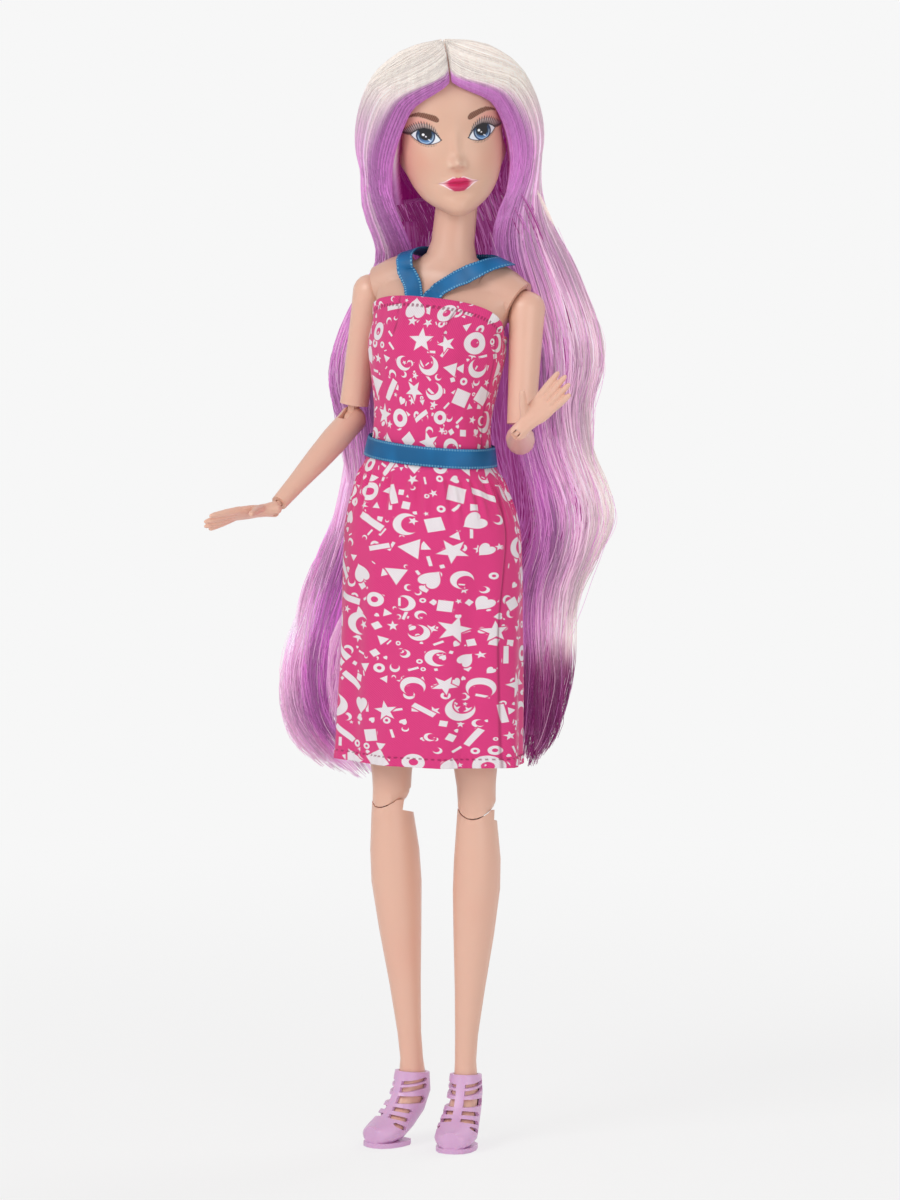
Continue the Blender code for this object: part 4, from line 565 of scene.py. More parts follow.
class Finish:
    """A material under construction: its nodes, its shader and the tools that this object's finishes use."""

    def __init__(self, name, roughness, **values):
        self.material = bpy.data.materials.new(name)
        self.material.use_nodes = True
        self.tree = self.material.node_tree
        self.shader = self.tree.nodes["Principled BSDF"]
        self.shader.inputs["Roughness"].default_value = roughness
        for socket, value in values.items():
            self.shader.inputs[socket.replace("_", " ")].default_value = value

    def node(self, kind, **values):
        """A new node of that kind with its named inputs fed."""
        made = self.tree.nodes.new("ShaderNode" + kind)
        for name, value in values.items():
            feed(self.tree, value, made.inputs[name])
        return made

    def coordinates(self, kind="Object"):
        return self.node("TexCoord").outputs[kind]

    def parts(self, vector):
        return [Wire(self.tree, out) for out in self.node("SeparateXYZ", Vector=vector).outputs]

    def joined(self, x, y, z):
        return self.node("CombineXYZ", X=x, Y=y, Z=z).outputs[0]

    def noise(self, scale, detail, stretch=None):
        vector = self.coordinates()
        if stretch is not None:
            vector = self.node("Mapping", Vector=vector, Scale=stretch).outputs[0]
        return Wire(self.tree, self.node("TexNoise", Vector=vector, Scale=scale, Detail=detail).outputs[0])

    def chance(self, vector):
        """Three random numbers for each place."""
        colour = self.node("TexWhiteNoise", Vector=vector).outputs["Color"]
        return [Wire(self.tree, out) for out in self.node("SeparateColor", Color=colour).outputs]

    def mixed(self, share, first, second):
        node = self.node("Mix")
        node.data_type = "RGBA"
        for place, value in ((0, share), (6, first), (7, second)):
            feed(self.tree, value, node.inputs[place])
        return node.outputs[2]

    def painted(self):
        node = self.node("Attribute")
        node.attribute_name = "Paint"
        return node.outputs["Color"]

    def colour(self, value):
        feed(self.tree, value, self.shader.inputs["Base Color"])

    def rough(self, wire):
        feed(self.tree, wire, self.shader.inputs["Roughness"])

    def bump(self, height, distance, strength=1.0):
        node = self.node("Bump", Height=height, Distance=distance, Strength=strength)
        feed(self.tree, node.outputs[0], self.shader.inputs["Normal"])


def feed(tree, value, place):
    """Give a node's input a number inside the material, another node's output, a plain number or a colour."""
    if isinstance(value, Wire):
        value = value.socket
    if isinstance(value, bpy.types.NodeSocket):
        tree.links.new(value, place)
    else:
        place.default_value = (*value, 1.0) if place.type == "RGBA" else value


def blended(tree, share, first, second, output):
    """Mix two shaders into the output of a material or of the world."""
    node = tree.nodes.new("ShaderNodeMixShader")
    for place, value in zip(node.inputs, (share, first, second)):
        feed(tree, value, place)
    feed(tree, node.outputs[0], tree.nodes[output].inputs["Surface"])


def dimmed(colour, *factors):
    """A colour times one factor, or times one for each of its parts."""
    factors = factors if len(factors) == 3 else factors * 3
    return tuple(part * factor for part, factor in zip(colour, factors))


def skin_vinyl(name, settings, shade):
    """Moulded vinyl: a warm base with faint mottling and a satin surface with fine mould grain; a shade below
    1 darkens the base as painted shade.
    """
    finish = Finish(
        name, settings.gloss, Subsurface_Weight=0.05, Subsurface_Scale=0.0008, Subsurface_Radius=SKIN_DEPTH,
        Specular_IOR_Level=0.5,
    )
    cloud = finish.noise(60, 3).ramp(0.35, 0.8) * 0.10
    finish.colour(finish.mixed(cloud, dimmed(settings.colour, shade), tuple(settings.blush)))
    finish.bump(finish.noise(MOULD_GRAIN, 2), GRAIN_DEPTH, 0.35)
    finish.rough(finish.noise(300, 2) * 0.08 + (settings.gloss - 0.10))
    return finish.material


def painted_vinyl(name, settings):
    """The head's vinyl: face paint from the piece's own colours over the same satin surface."""
    finish = Finish(
        name, 0.40, Subsurface_Weight=0.08, Subsurface_Scale=0.0010, Subsurface_Radius=SKIN_DEPTH,
        Specular_IOR_Level=0.4,
    )
    cloud = finish.noise(90, 3).ramp(0.4, 0.9) * 0.05
    finish.colour(finish.mixed(cloud, finish.painted(), tuple(settings.blush)))
    finish.bump(finish.noise(MOULD_GRAIN, 2), GRAIN_DEPTH, 0.3)
    finish.rough(finish.noise(260, 2) * 0.10 + 0.34)
    return finish.material


def hair_nylon(name):
    """Rooted nylon hair: the strands' own colours, glossy, with fine streaks in colour and roughness, and a
    faint glow in their own colour that is painted light.
    """
    # Painted light: an emission in the strands' own colour, fed below, makes them glow faintly.
    finish = Finish(name, 0.30, Specular_IOR_Level=0.85, Emission_Strength=0.25)
    streak = finish.noise(900, 3, stretch=(1, 1, 0.05)).ramp(0.3, 0.75)
    dark = finish.mixed(0.10, finish.painted(), (0.20, 0.03, 0.20))
    finish.colour(finish.mixed(streak, dark, finish.painted()))
    finish.rough(streak * 0.12 + 0.22)
    feed(finish.tree, finish.painted(), finish.shader.inputs["Emission Color"])
    through = finish.node("BsdfTranslucent", Color=finish.painted())
    blended(finish.tree, 0.36, finish.shader.outputs[0], through.outputs[0], "Material Output")
    return finish.material


def motif_edge(x, y, pick):
    """Signed distance to one of seven simple motifs, chosen by a random number: inside is negative."""
    radius = (x * x + y * y).of("SQRT")
    angle = y.of("ARCTAN2", x)

    def fold(sides):
        return abs((angle * (sides / CIRCLE)).of("FRACT") - 0.5) * (CIRCLE / sides)

    lean = fold(5)
    tall, low = math.sin(math.pi / 5), math.cos(math.pi / 5) - 0.42
    size = math.hypot(tall, low)
    star = ((radius * lean.of("COSINE") - 0.42) * tall - radius * lean.of("SINE") * low) / size
    triangle = radius * fold(3).of("COSINE") - 0.50
    diamond = radius * fold(4).of("COSINE") - 0.62
    ring = abs(radius - 0.58) - 0.24
    lift = y * 1.05 - abs(x).of("SQRT") * 0.60 + 0.14
    heart = (x * x + lift * lift).of("SQRT") - 0.66
    near = x - 0.36
    moon = (radius - 0.86).most((near * near + y * y).of("SQRT") * -1 + 0.66)
    edge = (abs(x) - 0.92).most(abs(y) - 0.24)
    shapes = ((0.80, moon), (0.66, heart), (0.52, ring), (0.39, diamond), (0.27, triangle), (0.16, star))
    for limit, shape in shapes:
        edge = edge + pick.of("LESS_THAN", limit) * (shape - edge)
    return edge


def motif_layer(finish, across, up, cell, seed, size, fill):
    """Motifs strewn one to a cell: each cell has its own place, turn, size and motif."""
    gx, gy = across / cell, up / cell
    gx = gx + gy.of("FLOOR") * 0.37
    ix, iy = gx.of("FLOOR"), gy.of("FLOOR")
    first = finish.chance(finish.joined(ix, iy, seed))
    second = finish.chance(finish.joined(ix, iy, seed + 7.3))
    x = gx.of("FRACT") - 0.5 - (first[0] - 0.5) * 0.22
    y = gy.of("FRACT") - 0.5 - (first[1] - 0.5) * 0.22
    turn = first[2] * CIRCLE
    c, s = turn.of("COSINE"), turn.of("SINE")
    big = second[0] * (size * 0.45) + size * 0.72
    edge = motif_edge((x * c + y * s) / big, (y * c - x * s) / big, second[1])
    return edge, second[2].of("LESS_THAN", fill)


def printed_twill(name, settings):
    """Cotton twill with a white print of plain motifs: stars, rings, hearts, moons and more on slanting
    threads. The piece's paint says where it is stitched and where painted shade darkens its seams and darts.
    A unit of the pattern is 1 mm."""
    finish = Finish(name, 0.82, Sheen_Weight=0.25, Sheen_Roughness=0.5, Specular_IOR_Level=0.25)
    across, up, _ = finish.parts(finish.coordinates("UV"))
    across, up = across * 100, up * 100
    wide, wide_shown = motif_layer(finish, across, up, 7.2, 1.0, 0.44, 0.86)
    small, small_shown = motif_layer(finish, across + 2.1, up + 1.3, 3.6, 4.0, 0.37, 0.66)
    tiny, tiny_shown = motif_layer(finish, across + 5.7, up + 3.1, 2.3, 9.0, 0.30, 0.20)
    clear = wide.ramp(0.06, 0.16).most(wide_shown * -1 + 1)
    ink = (wide.ramp(0.03, -0.03) * wide_shown).most(small.ramp(0.05, -0.05) * small_shown * clear)
    free = small.ramp(0.1, 0.3).most(small_shown * -1 + 1)
    ink = ink.most(tiny.ramp(0.06, -0.06) * tiny_shown * clear * free)
    diagonal = (across + up).waves(0.62) * 0.5 + 0.5
    threads = (across - up * 0.35).waves(0.30) * 0.5 + 0.5
    weave = diagonal * 0.7 + threads * 0.3
    cloth, white = tuple(settings.cloth), tuple(settings.print_colour)
    stitched, seam_shade, _ = finish.parts(finish.painted())
    thread = across.waves(1.15).ramp(-0.35, 0.15) * stitched
    base = finish.mixed(weave, dimmed(cloth, 0.80), cloth)
    printed = finish.mixed(ink, base, finish.mixed(weave, dimmed(white, 0.88), white))
    sewn = finish.mixed(thread * 0.7, printed, dimmed(cloth, 0.30))
    # Painted shade: the seams and darts darkened towards a deep pink.
    finish.colour(finish.mixed(seam_shade * 0.75, sewn, dimmed(cloth, 0.28)))
    finish.bump(weave * 0.35 + thread * 0.9, 0.00014, 0.6)
    return finish.material


def satin_ribbon(name, settings):
    """Satin ribbon: fine ribs across, painted highlight in soft paler patches, and paler stitched edges."""
    finish = Finish(name, 0.42, Specular_IOR_Level=0.30)
    along, across, _ = finish.parts(finish.coordinates("UV"))
    along, off = along * 100, abs(across - 0.5)
    stitch = along.waves(0.75).ramp(-0.1, 0.4) * (off.ramp(0.36, 0.42) * off.ramp(0.5, 0.44))
    # Painted highlight: patches of a lit, paler copy of the blue over a darker copy.
    painted_sheen = finish.noise(110, 2, stretch=(1, 1, 0.5)).ramp(0.35, 0.75)
    body = finish.mixed(painted_sheen * 0.7, dimmed(settings.ribbon, 0.85), dimmed(settings.ribbon, 1.6))
    finish.colour(finish.mixed(stitch * 0.9, body, (0.17, 0.44, 0.64)))
    finish.bump((along.waves(0.28) * 0.5 + 0.5) * 0.5 + stitch, 0.00005, 0.5)
    return finish.material


def moulded_shoe(name, settings):
    """Soft moulded vinyl of the shoes: glossy lilac, with painted shade making it deeper in the hollows."""
    finish = Finish(name, 0.34, Subsurface_Weight=0.08, Subsurface_Scale=0.001, Specular_IOR_Level=0.5)
    # Painted shade: a darker lilac where the surface curves inward.
    hollow_shade = Wire(finish.tree, finish.node("NewGeometry").outputs["Pointiness"]).ramp(0.50, 0.44)
    cloud = finish.noise(120, 3).ramp(0.3, 0.9) * 0.15
    deep = dimmed(settings.colour, 0.62, 0.42, 0.62)
    finish.colour(finish.mixed((hollow_shade * 0.55 + cloud).least(1.0), tuple(settings.colour), deep))
    finish.bump(finish.noise(1800, 2), 0.00004, 0.35)
    return finish.material


def pin_metal(name):
    """Plain steel of the hidden hinge pins."""
    finish = Finish(name, 0.3, Metallic=1.0)
    finish.colour((0.62, 0.60, 0.57))
    finish.rough(finish.noise(900, 2) * 0.2 + 0.22)
    return finish.material


def dress(obj, material):
    obj.data.materials.clear()
    obj.data.materials.append(material)
    return obj


# The painted face in millimetres: each line is its places across and its heights there.
# The eye's middle and half width, then its lines about that middle, with x running outwards: the upper and
# lower lid, the upper and lower edge of the eye shadow, and the wing at the outer corner
EYE_PLACE = (7.35, 21.15)
EYE_END = 3.85
LID = ((-3.7, -3.2, -2.4, -1.2, 0.4, 2.0, 3.2, 3.9), (-1.50, -0.75, 0.25, 1.30, 1.75, 1.45, 0.75, 0.05))
LID_BASE = ((-3.7, -3.2, -2.6, -1.4, 0, 1.6, 3.0, 3.9), (-1.5, -1.95, -2.2, -2.5, -2.55, -2.05, -0.95, 0))
SHADE = ((-3.7, -2.4, -0.6, 1.2, 3.0, 4.6, 6.1), (-1.2, 1.35, 2.75, 3.15, 2.75, 1.75, 0.55))
SHADE_BASE = ((-3.7, -2.6, -1.2, 0.4, 2.0, 3.4, 6.1), (-1.75, 0.05, 1.30, 1.75, 1.45, 0.35, 0.45))
WING = ((2.6, 4.6, 6.2), (0.35, 0.25, 0.55))
# The brow's middle line and its half width, and then the lips about their own middle
BROW = ((3.9, 5.2, 7.2, 8.9, 10.4, 11.9), (24.95, 25.5, 26.25, 26.65, 26.45, 25.75))
BROW_HALF = ((3.9, 5.0, 7.4, 9.4, 11.9), (0.82, 0.86, 0.70, 0.54, 0.14))
LIPS_UP = 8.0
UPPER_LIP = ((0, 0.7, 1.5, 2.6, 3.8, 5.3), (1.40, 1.62, 1.72, 1.22, 0.68, 0.28))
LOWER_LIP = ((0, 1.4, 2.6, 3.8, 5.3), (-2.10, -2.00, -1.45, -0.62, 0.14))
LIP_SEAM = ((0, 1.2, 5.3), (0.0, 0.10, 0.22))
# Distance from lash to lash on the upper and the lower lid
LASH_PITCH, LOW_LASH_PITCH = 0.52, 0.44


def ellipse(x, z, centre, radii, turn=0.0):
    """Distance in radii from an ellipse's centre, 1 on its edge."""
    c, s = math.cos(math.radians(turn)), math.sin(math.radians(turn))
    dx, dz = x - centre[0], z - centre[1]
    return np.hypot((dx * c + dz * s) / radii[0], (dz * c - dx * s) / radii[1])


def line_at(x, places, heights):
    """A painted line's height at x, and how much longer a step along it is than a step across."""
    step = 0.1
    rise = np.interp(x + step, places, heights) - np.interp(x - step, places, heights)
    return np.interp(x, places, heights), np.hypot(1, rise / (2 * step))


def eye_paint(colours, x, z, settings, mirror):
    """One painted eye about its own middle; x runs outwards from the nose and the gleam keeps its side."""
    lid, lid_lean = line_at(x, *LID)
    base, base_lean = line_at(x, *LID_BASE)
    ends = smooth(EYE_END + 0.15, EYE_END, np.abs(x))
    inside = smooth(-0.06, 0.06, lid - z) * smooth(-0.06, 0.06, z - base) * smooth(3.95, EYE_END, np.abs(x))
    shade, under = np.interp(x, *SHADE), np.interp(x, *SHADE_BASE)
    band = smooth(-0.10, 0.10, shade - z) * smooth(-0.08, 0.08, z - under)
    band = band * smooth(-3.9, -3.5, x) * smooth(6.2, 5.9, x)
    height = np.clip((z - under) / np.maximum(shade - under, 0.2), 0, 1)
    fan = np.sin((x - (z - 1.0) * (x + 0.4) / 9) * CIRCLE / LASH_PITCH)
    grey = laid(np.array([0.045, 0.040, 0.050]), height, (0.58, 0.50, 0.51))
    tips = smooth(0.1, 0.6, fan) * smooth(-0.05, 0.10, z - shade) * smooth(0.0, 0.6, shade + 0.85 - z)
    outward = smooth(6.2, 5.6, x)
    top = smooth(0.26, 0.10, np.abs(z - shade)) * smooth(-3.8, -3.2, x) * outward
    wing = smooth(0.45, 0.15, np.abs(z - np.interp(x, *WING))) * smooth(2.6, 3.4, x)
    ball = ellipse(x, z, (0.15, -0.25), (2.45, 2.45))
    iris = smooth(1.02, 0.97, ball) * inside
    blue = np.array(settings.iris)
    glow = smooth(0.2, 1.0, np.clip((-z - 0.2) / 2.2, 0, 1) * 1.2)
    tone = laid(blue * 0.30, glow, blue * 1.10 + 0.03)
    spoke = 0.88 + 0.12 * np.sin(np.arctan2(z + 0.25, x - 0.15) * 26)[..., None]
    inner = smooth(0.70, 0.76, ball) * smooth(0.86, 0.80, ball) * iris * smooth(0.4, -0.6, z)
    pupil = np.maximum(
        smooth(1.04, 0.96, ellipse(x, z, (0.10, 0.10), (1.55, 1.55))),
        smooth(1.04, 0.96, ellipse(x, z, (0.10, 1.30), (1.70, 1.30))),
    )
    across = -x if mirror else x
    gleams = [
        (smooth(1.15, 0.85, ellipse(across, z, (aside, up), (size, size))) * inside, (0.95, 0.96, 1.0))
        for aside, up, size in ((-0.75, 0.05, 0.34), (-0.12, -0.48, 0.20))
    ]
    streak = smooth(1.2, 0.8, ellipse(across, z, (0.72, -1.42), (0.42, 0.16), -38))
    above = smooth(0.24, 0.10, np.abs(z - lid) / lid_lean) * ends
    below = smooth(0.17, 0.07, np.abs(z - base) / base_lean) * ends
    low = smooth(0.45, 0.85, np.sin((x + (base - z) * x / 6) * CIRCLE / LOW_LASH_PITCH))
    lash = low * smooth(0.02, 0.12, base - z) * smooth(0.85, 0.55, base - z)
    layers = (
        (band * (0.94 - 0.35 * height), grey),
        (band * smooth(0.0, 0.5, fan) * (0.40 + 0.55 * height), (0.012, 0.010, 0.018)),
        (tips * smooth(-3.0, -2.0, x) * outward * 0.9, (0.03, 0.022, 0.03)),
        (top * 0.25, (0.05, 0.03, 0.035)),
        (wing * outward * 0.85, (0.02, 0.015, 0.02)),
        (inside, (0.80, 0.82, 0.88)),
        (iris, np.clip(tone * spoke, 0, 1)),
        (smooth(0.84, 0.92, ball) * iris, (0.015, 0.03, 0.10)),
        (inner * 0.6, (0.55, 0.72, 0.90)),
        (pupil * inside, (0.008, 0.008, 0.012)),
        *gleams,
        (streak * inside * 0.8, (0.85, 0.92, 1.0)),
        (above * 0.95, (0.015, 0.012, 0.018)),
        (below * 0.85, (0.03, 0.02, 0.04)),
        (lash * smooth(-3.0, -1.6, x) * smooth(4.2, 3.6, x) * 0.9, (0.04, 0.02, 0.03)),
    )
    return layered(colours, layers)


def face_paint(x, z, front, skin, settings):
    """The painted face in the head's own millimetres: blush, painted shade and highlights on the nose, brows,
    eyes and lips laid one over another.
    """
    wide = np.abs(x)
    tan = np.array(skin.colour) * (0.92, 0.94, 0.92)
    colours = np.broadcast_to(tan, x.shape + (3,)).copy()
    # The nose's wings and tip, where a painted highlight is laid below.
    wing = bell(wide, z, 2.0, 13.2, 0.55, 0.8) + 0.8 * bell(x, z, 0, 13.9, 0.9, 0.8)
    layers = (
        (smooth(6.5, 13.5, wide) * smooth(36, 22, z) * 0.42, skin.blush),
        (bell(wide, z, 8.6, 13.5, 3.4, 3.6) * 0.18, skin.blush),
        (bell(wide, z, 8.8, 24.6, 2.8, 1.5) * 0.30, (0.80, 0.22, 0.26)),
        (bell(x, z, 0, 11.3, 1.6, 0.5) * 0.25, skin.blush),
        # Painted shade in the nostrils.
        (bell(wide, z, 1.25, 12.25, 0.62, 0.42) * 0.40, (0.50, 0.16, 0.12)),
        # Painted highlights on the nose's wings and tip.
        (wing * 0.32, (0.97, 0.78, 0.62)),
        # Painted highlight down the nose's bridge.
        (bell(x, z, 1.5, 17.0, 0.9, 4.0) * 0.35, (0.86, 0.60, 0.46)),
    )
    colours = layered(colours, ((mask * front, over) for mask, over in layers))
    for side in (-1, 1):
        out = x * side
        half = np.interp(out, *BROW_HALF) * np.sqrt(np.clip((out - 3.7) / 0.8, 0, 1))
        hairs = 0.90 + 0.10 * np.sin((out * 0.9 + z * 0.5) * CIRCLE / 0.5)
        brow = smooth(0.10, -0.06, np.abs(z - np.interp(out, *BROW)) - half)
        brow = brow * smooth(3.7, 3.9, out) * smooth(12.0, 11.4, out)
        colours = laid(colours, brow * front * hairs, settings.brows)
        eye = eye_paint(colours, out - EYE_PLACE[0], z - EYE_PLACE[1], settings, side < 0)
        colours = np.where(front[..., None] > 0.5, eye, colours)
    return lip_paint(colours, x, z - LIPS_UP, front, settings)


def lip_paint(colours, x, z, front, settings):
    """Lips: an upper bow and a fuller lower curve, rosy in the middle, paler at the edges and with painted
    highlights of gloss towards the corners.
    """
    wide = np.abs(x)
    upper, lower = np.interp(wide, *UPPER_LIP), np.interp(wide, *LOWER_LIP)
    inside = smooth(-0.06, 0.06, upper - z) * smooth(-0.06, 0.06, z - lower) * smooth(5.35, 5.0, wide) * front
    rosy = smooth(4.3, 2.4, wide + 0.35 * np.abs(z))
    tone = np.array(settings.lips) * (0.85 + 0.25 * smooth(-1.8, 0.6, z))[..., None]
    # Paler edges of the lips: partly their own paint and partly painted highlight.
    edge = np.maximum(smooth(0.34, 0.12, np.abs(upper - z)), smooth(0.34, 0.12, np.abs(z - lower)))
    # Painted highlights: white gloss lines along the upper lip and the lower lip's sides.
    gloss = smooth(0.20, 0.06, np.abs(z - upper + 0.10)) * smooth(0.5, 1.0, wide) * smooth(3.6, 2.6, wide)
    gloss += smooth(0.16, 0.05, np.abs(z - lower - 0.22)) * smooth(1.6, 2.4, wide) * smooth(4.8, 4.0, wide)
    seam = smooth(0.16, 0.04, np.abs(z - np.interp(wide, *LIP_SEAM)))
    layers = (
        (inside * 0.9, (0.86, 0.52, 0.56)),
        (inside * rosy, tone),
        (inside * edge * smooth(0.9, 2.4, wide) * 0.72, (0.93, 0.74, 0.78)),
        (np.clip(gloss, 0, 1) * front * 0.75, (0.97, 0.86, 0.90)),
        (seam * inside * 0.55, (0.30, 0.01, 0.06)),
    )
    return layered(colours, layers)


class DOLL_OT_head(bpy.types.Operator):
    """Sculpt the head and paint its face"""

    bl_idname = "doll.head"
    bl_label = "Head and face"

    def execute(self, context):
        """Rings up the head, close together over the face: each section is a superellipse, and the relief is
        a sum of soft bells, taken off the depth."""
        scene = context.scene
        rise, wide, deep, low = HEAD
        heights = stepped(HEAD_RINGS, rise / MM * 0.998)
        w = np.linspace(-1, 1, 361)[:-1]
        turn = np.radians(-90 + 180 * (0.42 * w + 0.58 * w**5))
        z, turn = np.meshgrid(heights * MM, turn, indexing="ij")
        half, front, back, square = curve_at(HEAD_ROWS, z / rise)
        x, y = section(turn, half * wide, front * deep, back * deep, square)
        across, up = x / MM, (z + low) / MM
        forward = 0 * x
        for aside, *spot, size in RELIEF:
            for place in sorted({-aside, aside}):
                forward += size * bell(across, up, place, *spot)
        face = smooth(0.0, 0.003, -y)
        ear = bell(y, up, 0.0015, 13.5, 0.0022, 3.2) * 0.0012
        rings = np.stack([x + np.sign(x) * ear, y - face * forward * MM, z + low], axis=-1)
        paint = face_paint(across, up, face, scene.doll_skin, scene.doll_face)
        head = capped("head_vinyl", placed(HEAD_FRAME, rings), paint=paint)
        dress(head, painted_vinyl("painted_head_vinyl", scene.doll_skin))
        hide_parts("head")
        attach(head, "head")
        return {"FINISHED"}


# Hair: points of a strand in all and over the crown
STRAND_POINTS = 52
CROWN_POINTS = 17
# Height where upper and lower pieces meet, and how far a strand's own join may lie from it
HAIR_JOIN = 0.029
JOIN_STAGGER = 0.007
# Length of a wave of the masses, the nape and the loose hairs
WAVE_LENGTH, NAPE_WAVE, LOOSE_WAVE = 0.043, 0.047, 0.026
# Locks of a side and of the veil, and the loose hairs with their radius
LOCKS, VEIL_LOCKS = 90, 60
LOOSE_HAIRS, LOOSE_RADIUS = 130, 0.00007
# Share of a side's strands rooted before the crown's top, the crown's foot and the first share at the back
FRONT_SHARE = 0.34
CROWN_FOOT = 0.24
BACK_SHARE = 0.72
# The least and the greatest height of the dense hearts of the masses
BED_ENDS = (-0.078, 0.060)
# Layers of a side: name, seed, least and most depth and share of the strands
HAIR_LAYERS = (("outer", 11, 0.0, 0.22, 1.0), ("middle", 17, 0.08, 0.50, 1.0), ("inner", 29, 0.30, 0.90, 0.7))


def hair_tones(settings):
    """The hair's four colours: cream, lilac, pale and deep."""
    return [np.array(colour) for colour in (settings.cream, settings.lilac, settings.pale, settings.deep)]


def crown_at(height, turn, out=0.0):
    """A point of the crown: the section at a share of its height, grown by out."""
    tall, wide, deep = CROWN
    half, front, back, square = curve_at(CROWN_ROWS, height)
    x, y = section(turn, half * wide + out, front * deep - out, back * deep + out, square)
    return np.stack([x, y, height * tall + out * smooth(0.6, 1.0, height)], axis=-1)


def face_edge(z):
    """Half width of the hair's opening round the face at a height: an arch on straight sides."""
    half, centre, tall = FACE_OPENING
    rise = np.clip((z - centre) / tall, 0, 1)
    return half * np.sqrt(np.clip(1 - rise**2, 0, 1)) + 0.0004


def face_turn(height, out):
    """The crown's turn at which the opening round the face begins, at a share of its height."""
    wide = curve_at(CROWN_ROWS, height)[0] * CROWN[1]
    return -np.arccos(np.clip((face_edge(height * CROWN[0]) + out) / wide, 0, 1))


def crown_route(share, depth, t):
    """Strands from the part down to the side of the crown. Each starts on the middle line, swings to its own
    place between the face's edge and the back, and sinks a little where it is rooted."""
    behind = 1 - FRONT_SHARE
    start = np.where(share < FRONT_SHARE, 0.82 + 0.18 * (share / FRONT_SHARE) ** 0.8, 1.0)
    start = np.where(share > behind, 1 - (share - behind), start)
    first = np.radians(smooth(FRONT_SHARE, behind, share) * 180 - 90)
    height = start + (CROWN_FOOT - start) * t**1.2
    edge = face_turn(height, 0.0)
    last = edge + (math.pi / 2 - edge) * share
    turn = first + (last - first) * smooth(0, 0.38, t)
    points = crown_at(height, turn)
    centre = np.array([0, 0.002, 0.020])
    sink = 1 - 0.12 * depth - 0.022 * smooth(0.10, 0.0, t)
    points = centre + (points - centre) * sink[..., None]
    points[..., 0] += 0.00030 * smooth(0.20, 0.0, t)
    return points


def mass_at(side, z, turn, depth):
    """A point of a long mass of hair: a flat oval section at that height, drawn in by the depth."""
    drop, spread, back, thick = LENGTH
    outer, inner, place, half = curve_at(LENGTH_ROWS[side], z / drop)
    outer, inner, keep = outer * spread, inner * spread, 1 - depth
    x = (outer + inner) / 2 + (outer - inner) / 2 * np.cos(turn) * keep
    y = place * back + half * thick * np.sin(turn) * keep
    return np.stack([x, y, z + 0 * x], axis=-1)


def mass_cover(least, x, z, sides, face, out):
    """How far back the long masses reach at x and z: their front (-1) or back faces (1), moved by out."""
    found = least + 0 * z
    for side in sides:
        outer, inner, place, half = curve_at(LENGTH_ROWS[side], z / LENGTH[0])
        middle, wide = (outer + inner) * LENGTH[1] / 2, abs(outer - inner) * LENGTH[1] / 2
        bulge = np.sqrt(np.clip(1 - ((x - middle) / wide) ** 2, 0, 1))
        surface = place * LENGTH[2] + face * half * LENGTH[3] * bulge + out
        found = np.maximum(found, np.where(np.abs(x - middle) < wide, surface, 0))
    return found


def hair_paths(side, count, seed, shallow, deep):
    """Strands of one side: over the crown, then down the long mass in waves. Strands gather in locks that
    share their place and their wave, and each keeps a small offset of its own."""
    rng = np.random.default_rng(seed)
    lock_share = (np.arange(LOCKS) + 0.8 * rng.random(LOCKS)) / LOCKS
    lock_depth = rng.random(LOCKS)
    lock = rng.integers(0, LOCKS, count)
    spread = rng.normal(0, 1, (count, 4))
    share = np.clip(lock_share[lock] + spread[:, 0] * 0.016, 0.0, 1.0)
    depth = (0.55 * lock_depth[lock] + 0.45 * rng.random(count)) ** 1.4
    depth = np.clip(shallow + (deep - shallow) * depth, 0, 0.95)
    phase = rng.random(LOCKS)[lock] * 1.4
    cut = rng.random(LOCKS)[lock]
    t = np.linspace(0, 1, CROWN_POINTS)[None, :]
    crown = crown_route(share[:, None], depth[:, None], t) * np.array([side, 1.0, 1.0])
    crown = placed(HEAD_FRAME, crown)
    leave = crown[:, -1]
    lengths = STRAND_POINTS - CROWN_POINTS
    u = np.linspace(0, 1, lengths + 1)[None, 1:]
    tip = np.interp(share, (0, 0.25, 0.5, 0.75, 1), (-0.074, -0.083, -0.087, -0.084, -0.080))
    tip = tip - (0.006 if side < 0 else 0.0) + 0.016 * cut * (0.4 + rng.random(count)) * 0.8
    z = leave[:, None, 2] + (tip[:, None] - leave[:, None, 2]) * u
    turn = np.radians(-165 + 330 * np.clip(share / BACK_SHARE, 0, 1))[:, None]
    at_side = mass_at(side, z, turn, depth[:, None])
    across = np.clip((share - BACK_SHARE) / (1 - BACK_SHARE), 0, 1)[:, None]
    at_back = mass_at(0, z, math.pi * (0.5 - side * (0.5 - across * 0.5)) + 0 * z, depth[:, None] * 0.6)
    place = laid(at_side, smooth(0.60, 0.86, share)[:, None], at_back)
    drop = leave[:, None, 2] - z
    start = np.concatenate([np.repeat(leave[:, None, :2], lengths, axis=1), z[..., None]], axis=-1)
    path = laid(start, smooth(0.0, 0.030, drop), place)
    ramp = smooth(0.02, 0.07, drop)
    wave = CIRCLE * (z / WAVE_LENGTH + phase[:, None] * 0.5)
    path[..., 0] += ramp * 0.0011 * np.sin(wave) + spread[:, None, 1] * 0.0004 * ramp
    path[..., 1] += ramp * 0.0010 * np.cos(wave) + spread[:, None, 2] * 0.0004 * ramp
    gather = smooth(0.75, 1.0, u)[..., None] * 0.35
    middle = np.stack([np.bincount(lock, path[:, -1, k], LOCKS) for k in range(3)], -1)
    middle /= np.maximum(np.bincount(lock, minlength=LOCKS), 1)[:, None]
    shift = middle[lock][:, None, :] - path[:, -1:, :]
    shift[..., 2] = 0
    paths = np.concatenate([crown, path + gather * shift], axis=1)
    if side < 0:
        low = paths[..., 2]
        opened = smooth(0.030, 0.055, low) * smooth(0.090, 0.068, low) * line_near(share, 0, 0.22)[:, None]
        paths[..., 0] -= 0.0026 * opened
    return paths, share, depth, lock, rng


